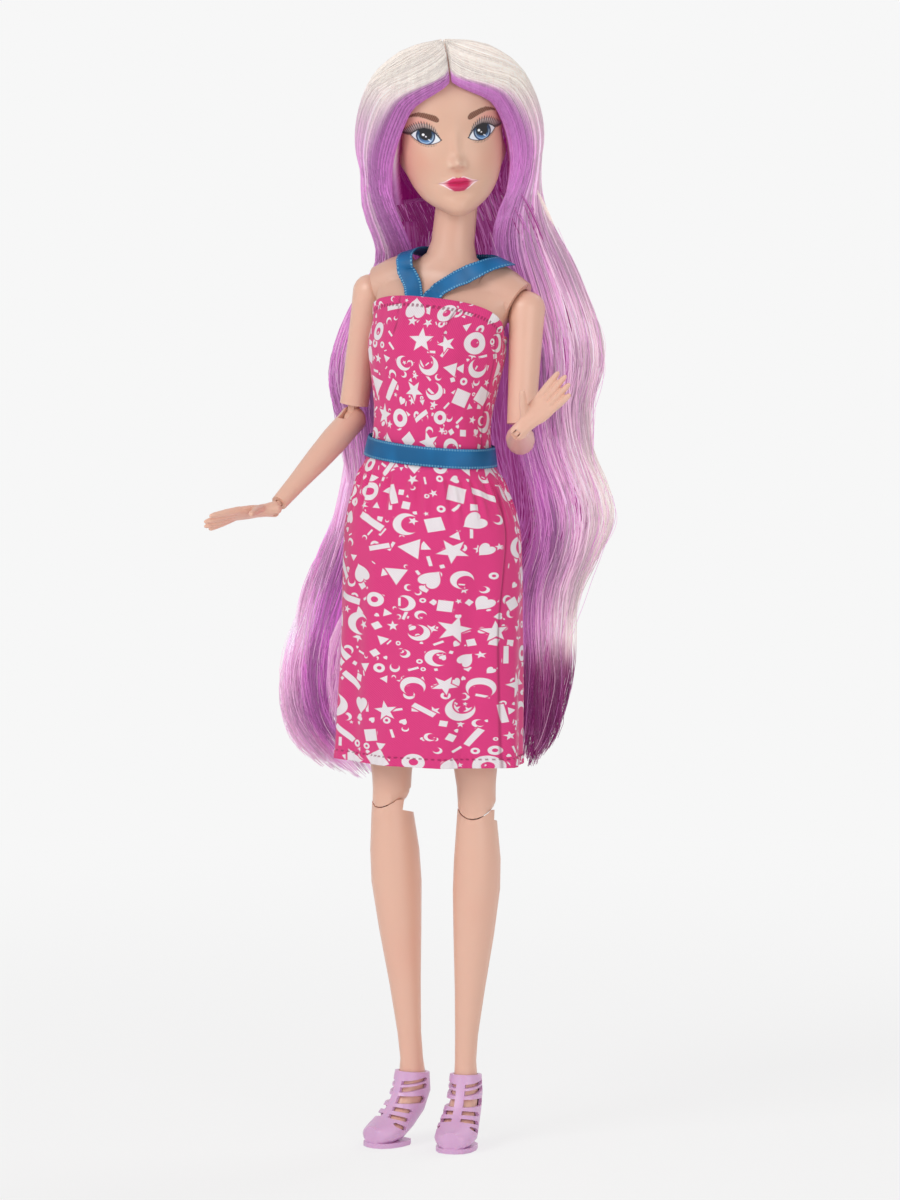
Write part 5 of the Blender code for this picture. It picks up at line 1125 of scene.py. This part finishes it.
def hair_colours(side, paths, share, depth, lock, rng, settings):
    """Cream over the crown and the outer edge, lilac by the face and down the lengths, with painted shade
    deeper inside and painted highlights on the waves and across the crown.
    """
    z = paths[..., 2]
    tone = rng.random(lock.max() + 1)[lock][:, None]
    along = np.clip(np.arange(STRAND_POINTS) / 15, 0, 1)[None, :]
    front = smooth(0.07 + 0.16 * along, 0.02 + 0.09 * along, share[:, None] + 0.03 * (tone - 0.5))
    fall = smooth(0.100, 0.072, z) * np.where(tone > 0.22, 1.0, 0.55)
    lilac = np.maximum(fall, front)
    if side > 0:
        outer = line_near(share, 0.43, 0.20)[:, None] * smooth(0.078, 0.050, z)
        outer = outer * (0.50 + 0.50 * smooth(0.030, -0.005, z))
        lilac = lilac * (1 - 0.97 * outer * smooth(-0.064, -0.054, z))
    else:
        outer = line_near(share, 0.33, 0.10)[:, None]
        lilac = lilac * (1 - 0.5 * outer * smooth(-0.02, -0.06, z) * (tone > 0.4))
    cream, violet, pale, dark = hair_tones(settings)
    # Painted highlight: roll is light where a wave turns outward. The pale lilac comes partly from it and
    # partly from each lock's random tone.
    roll = np.sin(CIRCLE * (z / WAVE_LENGTH + 0.3 * tone) + 2.2)
    light = np.clip(0.10 + 0.85 * tone + 0.30 * roll, 0, 1.15)
    if side < 0:
        light = light * (1 - 0.75 * smooth(-0.02, 0.02, z))
    body = laid(laid(violet, light, pale), front * 0.85, violet * (0.90, 0.80, 0.92))
    along = along + 0.10 * (tone - 0.5)
    # Painted highlight and shade on the cream crown: a light band midway down, lighter again towards its
    # foot, darker by the part.
    band = line_near(along, 0.40, 0.13) + 0.7 * smooth(0.75, 1.0, along) - 0.55 * smooth(0.22, 0.05, along)
    cream_with_painted_highlight = cream * (1 + 0.085 * (band - 0.45))[..., None] * (1, 1.012, 1.03)
    colours = laid(cream_with_painted_highlight, lilac, body)
    # Painted shade grows with a strand's depth; the tuft at the ends is the hair's own deep lilac.
    shadow = np.clip(depth * 0.9 - 0.12, 0, 1)[:, None] * (0.15 + 0.85 * lilac) * smooth(0.100, 0.085, z)
    tuft = smooth(-0.051, -0.060, z + 0.005 * (tone - 0.5))
    tuft = tuft * (smooth(0.98, 0.60, share)[:, None] if side > 0 else 0.12)
    colours = laid(colours, np.clip(shadow * 0.45 + tuft * (0.65 + 0.35 * tone), 0, 1), dark)
    streak = 1 - 0.32 * lilac * (rng.random(lock.max() + 1)[lock][:, None] > 0.74)
    # Each strand's random brightness and some darker locks, with a little more of the waves' painted
    # highlight.
    strand_tone_and_highlight = (0.87 + 0.26 * rng.random((len(share), 1)) + 0.09 * roll) * streak
    # Lighter lower down on the doll's right.
    if side < 0:
        strand_tone_and_highlight = strand_tone_and_highlight * (1 + 0.16 * smooth(0.0, -0.030, z))
    return np.clip(colours * strand_tone_and_highlight[..., None], 0, 1)


class DOLL_OT_hair(bpy.types.Operator):
    """Lay the hair strand by strand over the crown and down the lengths"""

    bl_idname = "doll.hair"
    bl_label = "Hair"

    def execute(self, context):
        settings = context.scene.doll_hair
        finish = hair_nylon("nylon_hair")
        taper = np.interp(np.linspace(0, 1, STRAND_POINTS), (0, 0.1, 0.8, 1), (0.8, 1.0, 1.0, 0.35))
        total = settings.strands
        for side in (1, -1):
            for layer, seed, shallow, deep, part in HAIR_LAYERS:
                count = int(total * part)
                paths, share, depth, lock, rng = hair_paths(side, count, seed + side, shallow, deep)
                radius = settings.thickness * taper * (0.7 + 0.6 * rng.random((count, 1)))
                paint = hair_colours(side, paths, share, depth, lock, rng, settings)
                made = parted_fibres(f"hair_{SIDE_WORDS[side]}_{layer}", paths, radius, paint)
                self.hang(made, finish, f"hair_length_{SIDE_WORDS[side]}" if layer == "outer" else "")
            self.hang(self.bed(side, settings), finish)
        self.hang(self.bed(0, settings), finish, "hair_length_back")
        self.hang(self.nape(int(total * 0.7), taper, settings), finish)
        self.hang(self.veil(total, taper, settings), finish)
        self.hang((None, self.loose(settings)), finish)
        self.crown(settings, finish)
        return {"FINISHED"}

    def hang(self, pair, finish, stands_for=""):
        """Finish an upper and a lower piece: dress each in the hair's finish, hide the part it stands for and
        bake its place into its points.
        """
        bends = (("neck_knob", "head", 0.037, 0.082), ("torso", "neck_knob", -0.035, 0.021))
        for made, (lower, upper, start, end) in zip(pair, bends):
            if made is None:
                continue
            dress(made, finish)
            if stands_for:
                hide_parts(stands_for)
            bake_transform(made)

    def fall(self, across, root, tip, share, behind, reach):
        """Strands that leave their roots and fall across all the masses: each keeps its place between the
        outer edges, and is at its place before or behind them once it has fallen as far as reach."""
        u = np.linspace(0, 1, STRAND_POINTS)[None, :]
        z = root[:, None, 2] + (tip[:, None] - root[:, None, 2]) * u
        left, right = (curve_at(LENGTH_ROWS[side], z / LENGTH[0])[0] * LENGTH[1] * share for side in (1, -1))
        x = (left + right) / 2 + across[:, None] * (left - right) / 2
        y = behind(x, z)
        settle = smooth(0.0, reach, root[:, None, 2] - z)
        x = root[:, None, 0] + (x - root[:, None, 0]) * settle
        y = root[:, None, 1] + (y - root[:, None, 1]) * settle
        return x, y, z

    def nape(self, count, taper, settings):
        """Strands that leave the head behind the ears and the neck, in front of the long masses, their deep
        colour painted shade behind the neck.
        """
        rng = np.random.default_rng(5)
        across = np.sin((rng.random(count) * 2 - 1) * math.pi / 2)
        root = crown_at(0.26 + 0.20 * rng.random(count), np.radians(90 - 88 * across), -0.0072)
        root = placed(HEAD_FRAME, root)
        layer = rng.random((count, 1))

        def before(x, z):
            near = np.interp(z, (-0.07, 0.0, 0.035, 0.06, 0.09), (0.0195, 0.0165, 0.0130, 0.0120, 0.0125))
            near = near + 0.003 * np.clip(1 - (x / 0.02) ** 2, 0, 1)
            return mass_cover(near, x, z, (1, -1), -1, 0.0018) + 0.005 * layer

        x, y, z = self.fall(across, root, -0.015 - 0.050 * rng.random(count), 0.80, before, 0.013)
        wave = CIRCLE * (z / NAPE_WAVE + rng.integers(0, 9, count)[:, None] * 0.13)
        x, y = x + 0.0010 * np.sin(wave), y + 0.0008 * np.cos(wave)
        _, violet, _, dark = hair_tones(settings)
        # Painted shade behind the neck, lighter towards the doll's left and lower down.
        tone = 0.06 + 0.85 * rng.random(count) ** 1.5 * (across > 0.1) + 0.12 * rng.random(count)
        tone = tone[:, None] + 0.30 * smooth(0.05, 0.0, z)
        paint = laid(dark, np.clip(tone, 0, 1), violet)
        radius = settings.thickness * taper + 0 * z
        return parted_fibres("hair_nape", np.stack([x, y, z], axis=-1), radius, paint)

    def veil(self, count, taper, settings):
        """Strands over the back of the crown and of all three masses: at each place they follow whichever
        mass stands out farthest."""
        rng = np.random.default_rng(8)
        lock = rng.integers(0, VEIL_LOCKS, count)
        across = (lock + 0.5 + rng.normal(0, 0.75, count)) / VEIL_LOCKS * 2 - 1
        across = np.clip(across, -1, 1) * 0.97
        root = crown_at(0.55 + 0.12 * rng.random(count), np.radians(90 - 88 * across), -0.0012)
        root = placed(HEAD_FRAME, root)
        deep = 0.0014 * rng.random((count, 1))

        def after(x, z):
            return mass_cover(0.012, x, z, (1, -1, 0), 1, 0.0) - deep

        tip = -0.070 - 0.014 * rng.random(count) + 0.006 * rng.random(VEIL_LOCKS)[lock]
        x, y, z = self.fall(across, root, tip, 0.96, after, 0.026)
        padded = np.pad(y, ((0, 0), (2, 2)), mode="edge")
        y = np.apply_along_axis(lambda row: np.convolve(row, np.ones(5) / 5, "valid"), 1, padded)
        wave = CIRCLE * (z / WAVE_LENGTH + rng.random(VEIL_LOCKS)[lock][:, None] * 0.6)
        ramp = smooth(0.02, 0.06, root[:, None, 2] - z)
        x, y = x + 0.0010 * ramp * np.sin(wave), y + 0.0007 * ramp * np.cos(wave)
        tone = rng.random(VEIL_LOCKS)[lock][:, None]
        cream, violet, pale, dark = hair_tones(settings)
        lilac = smooth(0.100, 0.074, z) * np.where(tone > 0.2, 1.0, 0.6)
        lilac = lilac * (1 - 0.9 * smooth(0.80, 0.92, across)[:, None] * smooth(-0.064, -0.050, z))
        paint = laid(cream, lilac, laid(violet, tone, pale))
        paint = laid(paint, 0.55 * smooth(-0.045, -0.075, z) * smooth(0.1, 0.7, across)[:, None], dark)
        radius = settings.thickness * taper + 0 * z
        return parted_fibres("hair_veil", np.stack([x, y, z], axis=-1), radius, paint)

    def loose(self, settings):
        """Single hairs that have come away from the masses and wave beside their outer edges."""
        rng = np.random.default_rng(21)
        count = LOOSE_HAIRS
        side = np.where(rng.random(count) < 0.5, 1, -1)
        top, u = 0.060 - 0.085 * rng.random(count), np.linspace(0, 1, STRAND_POINTS)[None, :]
        z = top[:, None] - (0.030 + 0.050 * rng.random((count, 1))) * u
        z = np.maximum(z, -0.0875 + 0.004 * u)
        turn = np.radians(rng.uniform(-150, 60, count))[:, None]
        left, right = mass_at(1, z, turn, -0.02 + 0 * z), mass_at(-1, z, math.pi - turn, -0.02 + 0 * z)
        paths = np.where((side > 0)[:, None, None], left, right)
        away = np.sin(u * math.pi) ** 0.7 * (0.0004 + 0.0016 * rng.random((count, 1)) ** 2)
        wave = np.sin(CIRCLE * (z / LOOSE_WAVE + rng.random((count, 1))))
        paths[..., 0] += side[:, None] * np.cos(turn) * away * (1 + 0.5 * wave)
        paths[..., 1] += np.sin(turn) * away + 0.0005 * wave
        _, violet, pale, _ = hair_tones(settings)
        paint = laid(violet, rng.random((count, 1)) + 0 * z, pale)
        return fibres("hair_loose", paths, LOOSE_RADIUS + 0 * z, paint)

    def bed(self, side, settings):
        """The dense heart of a long mass of hair: its oval section at each height, ribbed and drawn in."""
        join = 69
        foot, top = BED_ENDS
        z, turn = ring_grid(stepped(((foot, join), (HAIR_JOIN, 20)), top), 72)
        rib = 0.05 * np.sin(11 * turn + 40 * z) + 0.04 * np.sin(23 * turn - 70 * z)
        narrow = 0.36 + rib + 0.5 * smooth(foot + 0.018, foot, z) + 0.3 * smooth(top - 0.015, top, z)
        points = mass_at(side, z, turn, narrow)
        _, violet, _, dark = hair_tones(settings)
        # Painted shade: the heart of a mass is dark deep in the hair, broken up by violet lock by lock.
        share = 0.35 + 0.35 * np.sin(17 * turn + 55 * z) * np.sin(9 * turn)
        paint = laid(dark, np.clip(share, 0, 1), violet)
        name = f"hair_bed_{SIDE_WORDS[side]}"
        upper = capped(name, points[join:], paint=paint[join:])
        return upper, capped(name + "_lengths", points[: join + 1], paint=paint[: join + 1])

    def crown(self, settings, finish):
        """The bed of the crown: the crown's own sections just under the strands, open round the face."""
        heights = stepped(((0.03, 45), (0.90, 1), (0.91, 11)), 1.0)
        height, w = np.meshgrid(heights, np.linspace(0, 1, 120), indexing="ij")
        edge = face_turn(height, 0.0010)
        turn = edge + (math.pi - 2 * edge) * w
        outer, inner = (crown_at(height, turn, out) for out in (-0.0016, -0.0036))
        rings = np.concatenate([outer, inner[:, ::-1]], axis=1)
        cream, violet, _, dark = hair_tones(settings)
        tone = np.clip(smooth(0.45, 0.15, height) + 0.12 * np.sin(37 * w * CIRCLE), 0, 1)
        # Painted shade: the bed is a little darker than the strands over it.
        paint = laid(cream * 0.92, tone, violet * 0.8)
        part = smooth(0.0011, 0.0006, np.abs(outer[..., 0])) * smooth(0.004, -0.002, outer[..., 1])
        paint = laid(paint, part, (0.82, 0.52, 0.30))
        # Painted shade: the bed's inner side, under the hair, is dark.
        paint = np.concatenate([paint, np.broadcast_to(dark, paint.shape)], axis=1)
        bed = capped("hair_bed_crown", placed(HEAD_FRAME, rings), paint=paint)
        dress(bed, finish)
        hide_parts("hair_crown")
        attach(bed, "head")


# Dress and ribbons: places round the body in degrees, places up the cloth as shares, and widths in metres
DARTS = (247, 287)
BODICE_SEAM, SKIRT_SEAM = 344, 348
BODICE_STITCH, SKIRT_STITCH = 0.945, 0.971
BELT_WIDTH, HALTER_WIDTH, RIBBON_THICK = 0.0052, 0.0048, 0.0004


def bodice_edge(turn):
    """Height of the bodice's top: highest in front, lower under the arms and at the back."""
    front = np.maximum(0, -np.sin(turn)) ** 0.6
    back = np.maximum(0, np.sin(turn))
    return 0.0325 + (0.0410 - 0.0325) * front + (0.0300 - 0.0325) * back


class DOLL_OT_dress(bpy.types.Operator):
    """Sew the bodice and the skirt from printed twill"""

    bl_idname = "doll.dress"
    bl_label = "Dress"

    def execute(self, context):
        cloth = printed_twill("printed_twill", context.scene.doll_dress)
        self.bodice(cloth)
        self.skirt(cloth)
        return {"FINISHED"}

    def bodice(self, cloth):
        """The body's section grown by the cloth, with two darts, drag folds at the waist and a top hem."""
        level, turn = ring_grid(stepped(((0, 60), (0.9, 25)), 1.0), 240)
        z = -0.0005 + (bodice_edge(turn) + 0.0005) * level
        degrees = np.degrees(turn)
        lean = degrees - 10 * (1 - level)
        dart = sum(line_near(lean, at, 2.2) for at in DARTS) * smooth(0.45, 0.95, level)
        drag = np.sin(turn * 9 + 5 * level) * smooth(0.5, 0.0, level) * 0.00018
        below = np.abs(level - BODICE_STITCH)
        hem = smooth(0.955, 0.965, level) * 0.00016 + smooth(0.015, 0.0, below) * -0.00008
        out = 0.00085 + hem - 0.00030 * dart + drag + 0.00006 * np.sin(turn * 23)
        outer = torso_at(turn, z, out)
        inner = torso_at(turn, z, 0.0005 + 0 * out)
        uv = np.stack([round_length(outer[40:41]) + 0.004 + 0 * z, z * 1.03 + 0.0012], axis=-1) * 10
        # The side seam and the darts, darkened in the cloth's paint as painted shade.
        line = line_near(degrees, BODICE_SEAM, 0.8) * smooth(0.96, 0.94, level)
        line += sum(line_near(lean, at, 0.5) for at in DARTS) * smooth(0.72, 0.80, level)
        outer, inner = placed(TORSO_FRAME, outer), placed(TORSO_FRAME, inner)
        bodice = sleeve("bodice_cloth", outer, inner, uv, smooth(0.012, 0.007, below), line)
        dress(bodice, cloth)
        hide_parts("dress_bodice")
        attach(bodice, "torso")

    def skirt(self, cloth):
        """Sections of a straight skirt with soft upright folds that grow towards the hem, and a side seam."""
        top, long, wide, deep = SKIRT
        level, turn = ring_grid(stepped(((1, 26), (0.955, 76), (0.06, 21)), -0.032), 304)
        half, front, back = curve_at(SKIRT_ROWS, level)
        x, y = section(turn, half * wide, front * deep, back * deep, 2.2)
        fold = np.cos(5 * turn + 0.6 + level) + 0.6 * np.sin(8 * turn - 1.4 * level)
        fold *= 0.0010 * np.maximum(level, 0)
        fold += 0.00030 * np.sin(13 * turn + 6 * level) * smooth(0.05, 0.5, level)
        gather = smooth(0.012, 0.045, level) * smooth(0.22, 0.05, level)
        fold += 0.00042 * gather * (np.sin(31 * turn + 9 * level) + 0.6 * np.sin(47 * turn - 7 * level))
        fold += 0.00012 * smooth(0.945, 0.965, level) * np.sin(61 * turn + 2 * np.sin(7 * turn))
        below = np.abs(level - SKIRT_STITCH)
        hem = 0.00026 * smooth(0.968, 0.974, level) - 0.00016 * smooth(0.005, 0.0, below)
        # The side seam, sunk a little into the cloth and darkened in its paint as painted shade.
        line = line_near(np.degrees(turn) + 18 * smooth(0.0, 0.6, level), SKIRT_SEAM, 0.9)
        line = line * smooth(0.02, 0.1, level)
        reach = np.hypot(x, y)
        tilt = x * math.tan(math.radians(TORSO_LEAN)) + 0.0009 * np.maximum(0, -y) / TORSO[2]
        height = top - level * long - (1 - level) ** 4 * tilt

        def skin(out):
            grown = (reach + fold + out) / reach
            return np.stack([x * grown, y * grown, height], axis=-1)

        outer = skin(0.0001 + hem - 0.00034 * line)
        uv = np.stack([round_length(outer[-1:]) + 0 * reach, height], axis=-1) * 10
        skirt = sleeve("skirt_cloth", outer, skin(-0.00045), uv, smooth(0.0032, 0.0018, below), line)
        dress(skirt, cloth)
        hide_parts("dress_skirt")
        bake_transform(skirt)


def ribbon_strip(name, middles, across, normal, width, closed):
    """A ribbon carried along a path: a thin rounded section across it, with small loops along both edges."""
    count = len(middles)
    v = np.array([-0.5, -0.46, -0.40, -0.2, 0.0, 0.2, 0.40, 0.46, 0.5])
    picot = 0.00014 * np.maximum(0, np.sin(np.arange(count) * math.pi / 2))[:, None]
    edge = np.where(np.abs(v) > 0.45, 1.0, 0.0)[None, :] * picot * np.sign(v)[None, :]
    swell = RIBBON_THICK * np.where(np.abs(v) < 0.45, 0.5, 0.3)
    flat = middles[:, None] + across[:, None] * (v * width + edge)[..., None]
    raised = normal[:, None] * swell[:, None]
    rings = placed(TORSO_FRAME, np.concatenate([flat + raised, (flat - raised)[:, ::-1]], axis=1))
    along = np.concatenate([[0], np.cumsum(np.linalg.norm(np.diff(middles, axis=0), axis=1))])
    u = np.repeat(along[:, None] * 10, rings.shape[1], axis=1)
    uv = np.stack([u, np.repeat(np.concatenate([v, v[::-1]])[None] + 0.5, count, axis=0)], axis=-1)
    if closed:
        return new_mesh(name, rings, [grid_faces(*rings.shape[:2], looped=True)], uv)
    return capped(name, rings, uv=uv)


class DOLL_OT_ribbons(bpy.types.Operator):
    """Tie the satin belt and the neck ribbon"""

    bl_idname = "doll.ribbons"
    bl_label = "Ribbons"

    def execute(self, context):
        satin = satin_ribbon("blue_satin", context.scene.doll_dress)
        self.finish_ribbon(self.belt(), satin, "belt_ribbon")
        self.finish_ribbon(self.halter(), satin, "halter_ribbon")
        return {"FINISHED"}

    def belt(self):
        """A closed ribbon round the waist, upright on the body's surface and a little lower in front."""
        turn = np.linspace(0, CIRCLE, 361)[:-1]
        low, high = (torso_at(turn, half + 0 * turn, 0.0018) for half in (-BELT_WIDTH / 2, BELT_WIDTH / 2))
        dip = (0.0009 * np.maximum(0, -low[:, 1]) / TORSO[2])[:, None] * np.array([0, 0, 1.0])
        middles = (low + high) / 2 - dip
        across = unit(high - low)
        normal = unit(np.cross(np.roll(middles, -1, axis=0) - np.roll(middles, 1, axis=0), across))
        return ribbon_strip("belt_satin", middles, across, normal, BELT_WIDTH, True)

    def halter(self):
        """An open ribbon over the body's surface: its normal is square to the steps round and up the body."""
        rows = [(i, *row) for i, row in enumerate(NECK_RIBBON_ROWS)]
        degrees, share, lift = curve_at(rows, np.linspace(0, len(rows) - 1, 260))

        def body(turn=0.0, rise=0.0):
            return torso_at(np.radians(degrees + turn), (share + rise) * TORSO[0])

        skin = body()
        normal = unit(np.cross(body(turn=4) - body(turn=-4), body(rise=0.02) - body(rise=-0.02)))
        across = unit(np.cross(normal, unit(np.gradient(skin, axis=0))))
        middles = skin + normal * (0.0011 + lift * 0.0022)[:, None]
        return ribbon_strip("neck_satin", middles, across, normal, HALTER_WIDTH, False)

    def finish_ribbon(self, made, satin, node):
        dress(made, satin)
        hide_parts(node)
        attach(made, "torso")


# Limbs and shoes


def smoothed_copy(node, angle):
    """The node's shape with its doubled points merged, smooth but for edges sharper than the angle."""
    shape = bmesh.new()
    shape.from_mesh(frame["nodes"][node].data)
    bmesh.ops.remove_doubles(shape, verts=shape.verts, dist=0.000001)
    mesh = bpy.data.meshes.new(node + "_vinyl")
    shape.to_mesh(mesh)
    shape.free()
    if "custom_normal" in mesh.attributes:
        mesh.attributes.remove(mesh.attributes["custom_normal"])
    mesh.shade_smooth()
    mesh.set_sharp_from_angle(angle=math.radians(angle))
    made = added(node + "_vinyl", mesh)
    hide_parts(node)
    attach(made, frame["nodes"][node]["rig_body"])
    return made


class DOLL_OT_skin(bpy.types.Operator):
    """Give every moulded limb and joint its vinyl"""

    bl_idname = "doll.skin"
    bl_label = "Limbs and joints"

    def execute(self, context):
        vinyl = skin_vinyl("limb_vinyl", context.scene.doll_skin, 1.0)
        # The torso and neck take a darker copy of the skin: painted shade under the hair.
        shaded = skin_vinyl("body_vinyl_painted_shade", context.scene.doll_skin, 0.87)
        steel = pin_metal("pin_steel")
        for name, node in list(frame["nodes"].items()):
            if name.startswith(SKIN_WORDS):
                made = smoothed_copy(name, 42)
                dress(made, shaded if name.startswith(("torso", "neck")) else vinyl)
            elif name.startswith("hand"):
                self.hand(name, vinyl)
            elif "pin" in name:
                dress(node, steel)
        return {"FINISHED"}

    def hand(self, name, vinyl):
        """The hand's solids melted into one skin and softened, so that the fingers grow out of the palm."""
        made = smoothed_copy(name, 60)
        melt = made.modifiers.new("Melt", "REMESH")
        melt.mode = "VOXEL"
        melt.voxel_size = 0.00020
        melt.use_smooth_shade = True
        soften = made.modifiers.new("Soften", "SMOOTH")
        soften.factor = 0.5
        soften.iterations = 7
        dress(made, vinyl)


class DOLL_OT_shoes(bpy.types.Operator):
    """Mould the openwork shoes"""

    bl_idname = "doll.shoes"
    bl_label = "Shoes"

    def execute(self, context):
        vinyl = moulded_shoe("lilac_shoe", context.scene.doll_shoes)
        for word in ("left", "right"):
            shoe = smoothed_copy("shoe_" + word, 40)
            dress(shoe, vinyl)
        return {"FINISHED"}


# The stage: size of the photograph, pixels to a metre, the belt's pixel, the lens and the lamps
PHOTO_SIZE = (900, 1200)
PHOTO_SCALE = 3750
PHOTO_BELT = (431, 450)
SENSOR = 36
FLOOR = -0.1886
# Name, place, diameter and watts of each lamp
LAMPS = (
    ("key", (-0.55, -1.1, 0.75), 0.8, 8.2),
    ("fill", (1.0, -0.9, 0.25), 0.9, 4.0),
    ("rim", (0.3, 0.9, 0.8), 0.7, 3.6),
)


def stand(made, right, up, back, place):
    """Put a camera or a lamp at a place, with its own three directions."""
    made.matrix_world = Matrix([*np.stack([right, up, back, place], axis=1).tolist(), (0, 0, 0, 1)])


class DOLL_OT_stage(bpy.types.Operator):
    """Set the camera, the lamps, the floor and the backdrop"""

    bl_idname = "doll.stage"
    bl_label = "Stage"

    def execute(self, context):
        settings = context.scene.doll_stage
        self.camera(context, settings)
        self.lamps(context)
        self.floor(settings)
        context.scene.view_settings.view_transform = "Standard"
        return {"FINISHED"}

    def camera(self, context, settings):
        """A long lens whose middle is set so that the belt lies at its place in the photograph's frame."""
        turn, tilt = math.radians(settings.azimuth), math.radians(settings.elevation)
        right = np.array([math.cos(turn), math.sin(turn), 0.0])
        back = np.array([math.sin(turn) * math.cos(tilt), -math.cos(turn) * math.cos(tilt), math.sin(tilt)])
        up = np.cross(back, right)
        lens = bpy.data.cameras.new("camera")
        lens.sensor_width = SENSOR
        lens.lens = SENSOR * PHOTO_SCALE * settings.distance / PHOTO_SIZE[1]
        lens.clip_end = 20
        camera = added("camera", lens)
        aside, above = ((whole / 2 - belt) / PHOTO_SCALE for whole, belt in zip(PHOTO_SIZE, PHOTO_BELT))
        stand(camera, right, up, back, back * settings.distance + right * aside - up * above)
        context.scene.camera = camera

    def lamps(self, context):
        """A large soft lamp each side of the camera, one above, and an even world."""
        for name, place, size, watts in LAMPS:
            light = bpy.data.lights.new(name, "AREA")
            light.shape = "DISK"
            light.size = size
            light.energy = watts
            back = unit(np.array(place))
            side = unit(np.cross(-back, (0, 0, 1)))
            stand(added(name, light), side, np.cross(side, -back), back, place)
        world = bpy.data.worlds.new("studio")
        context.scene.world = world
        world.use_nodes = True
        tree = world.node_tree
        light = tree.nodes["Background"]
        feed(tree, (1.0, 0.985, 0.97), light.inputs["Color"])
        feed(tree, 0.46, light.inputs["Strength"])
        paper = tree.nodes.new("ShaderNodeBackground")
        feed(tree, (context.scene.doll_stage.backdrop,) * 3, paper.inputs["Color"])
        blended(tree, seen_directly(tree), light.outputs[0], paper.outputs[0], "World Output")

    def floor(self, settings):
        """A flat round floor whose paper fades into the backdrop away from the doll."""
        radius, turn = ring_grid([0.0, *np.geomspace(0.02, 3.0, 24)], 64)
        points = np.stack([radius * np.cos(turn), radius * np.sin(turn), 0 * radius + FLOOR], axis=-1)
        disc = new_mesh("floor", points, [grid_faces(*radius.shape)[:, ::-1]])
        grey = (settings.backdrop,) * 3
        finish = Finish("paper", 0.9)
        finish.colour(grey)
        glow = finish.node("Emission", Color=grey)
        x, y, _ = finish.parts(finish.coordinates())
        far = (x * x + y * y).of("SQRT").ramp(0.10, 0.55) * 0.25 + 0.75
        share = seen_directly(finish.tree) * far
        blended(finish.tree, share, finish.shader.outputs[0], glow.outputs[0], "Material Output")
        dress(disc, finish.material)


def seen_directly(tree):
    """1 for what the camera, a gloss or a clear piece looks at, 0 for light that falls on something."""
    path = tree.nodes.new("ShaderNodeLightPath")
    kinds = ("Camera", "Glossy", "Transmission")
    camera, glossy, clear = (Wire(tree, path.outputs[f"Is {kind} Ray"]) for kind in kinds)
    return camera.most(glossy).most(clear)


class DOLL_PT_sidebar(bpy.types.Panel):
    """The doll's pieces and their settings"""

    bl_label = "Fashion doll"
    bl_idname = "DOLL_PT_sidebar"
    bl_space_type = "VIEW_3D"
    bl_region_type = "UI"
    bl_category = "Doll"

    def draw(self, context):
        for operator in OPERATORS:
            self.layout.operator(operator.bl_idname)
        for name, group in SETTINGS.items():
            for field in group.__annotations__:
                self.layout.prop(getattr(context.scene, name), field)


SETTINGS = {
    "doll_skin": SkinSettings,
    "doll_face": FaceSettings,
    "doll_hair": HairSettings,
    "doll_dress": DressSettings,
    "doll_shoes": ShoeSettings,
    "doll_stage": StageSettings,
}
OPERATORS = (
    DOLL_OT_stage, DOLL_OT_skin, DOLL_OT_shoes, DOLL_OT_head, DOLL_OT_hair, DOLL_OT_dress, DOLL_OT_ribbons
)


def register():
    for name, group in SETTINGS.items():
        bpy.utils.register_class(group)
        setattr(bpy.types.Scene, name, PointerProperty(type=group))
    for made in (*OPERATORS, DOLL_PT_sidebar):
        bpy.utils.register_class(made)


def unregister():
    for made in (DOLL_PT_sidebar, *OPERATORS):
        bpy.utils.unregister_class(made)
    for name, group in SETTINGS.items():
        delattr(bpy.types.Scene, name)
        bpy.utils.unregister_class(group)


def main():
    register()
    for operator in OPERATORS:
        group, name = operator.bl_idname.split(".")
        getattr(getattr(bpy.ops, group), name)()


if __name__ == "__main__":
    main()
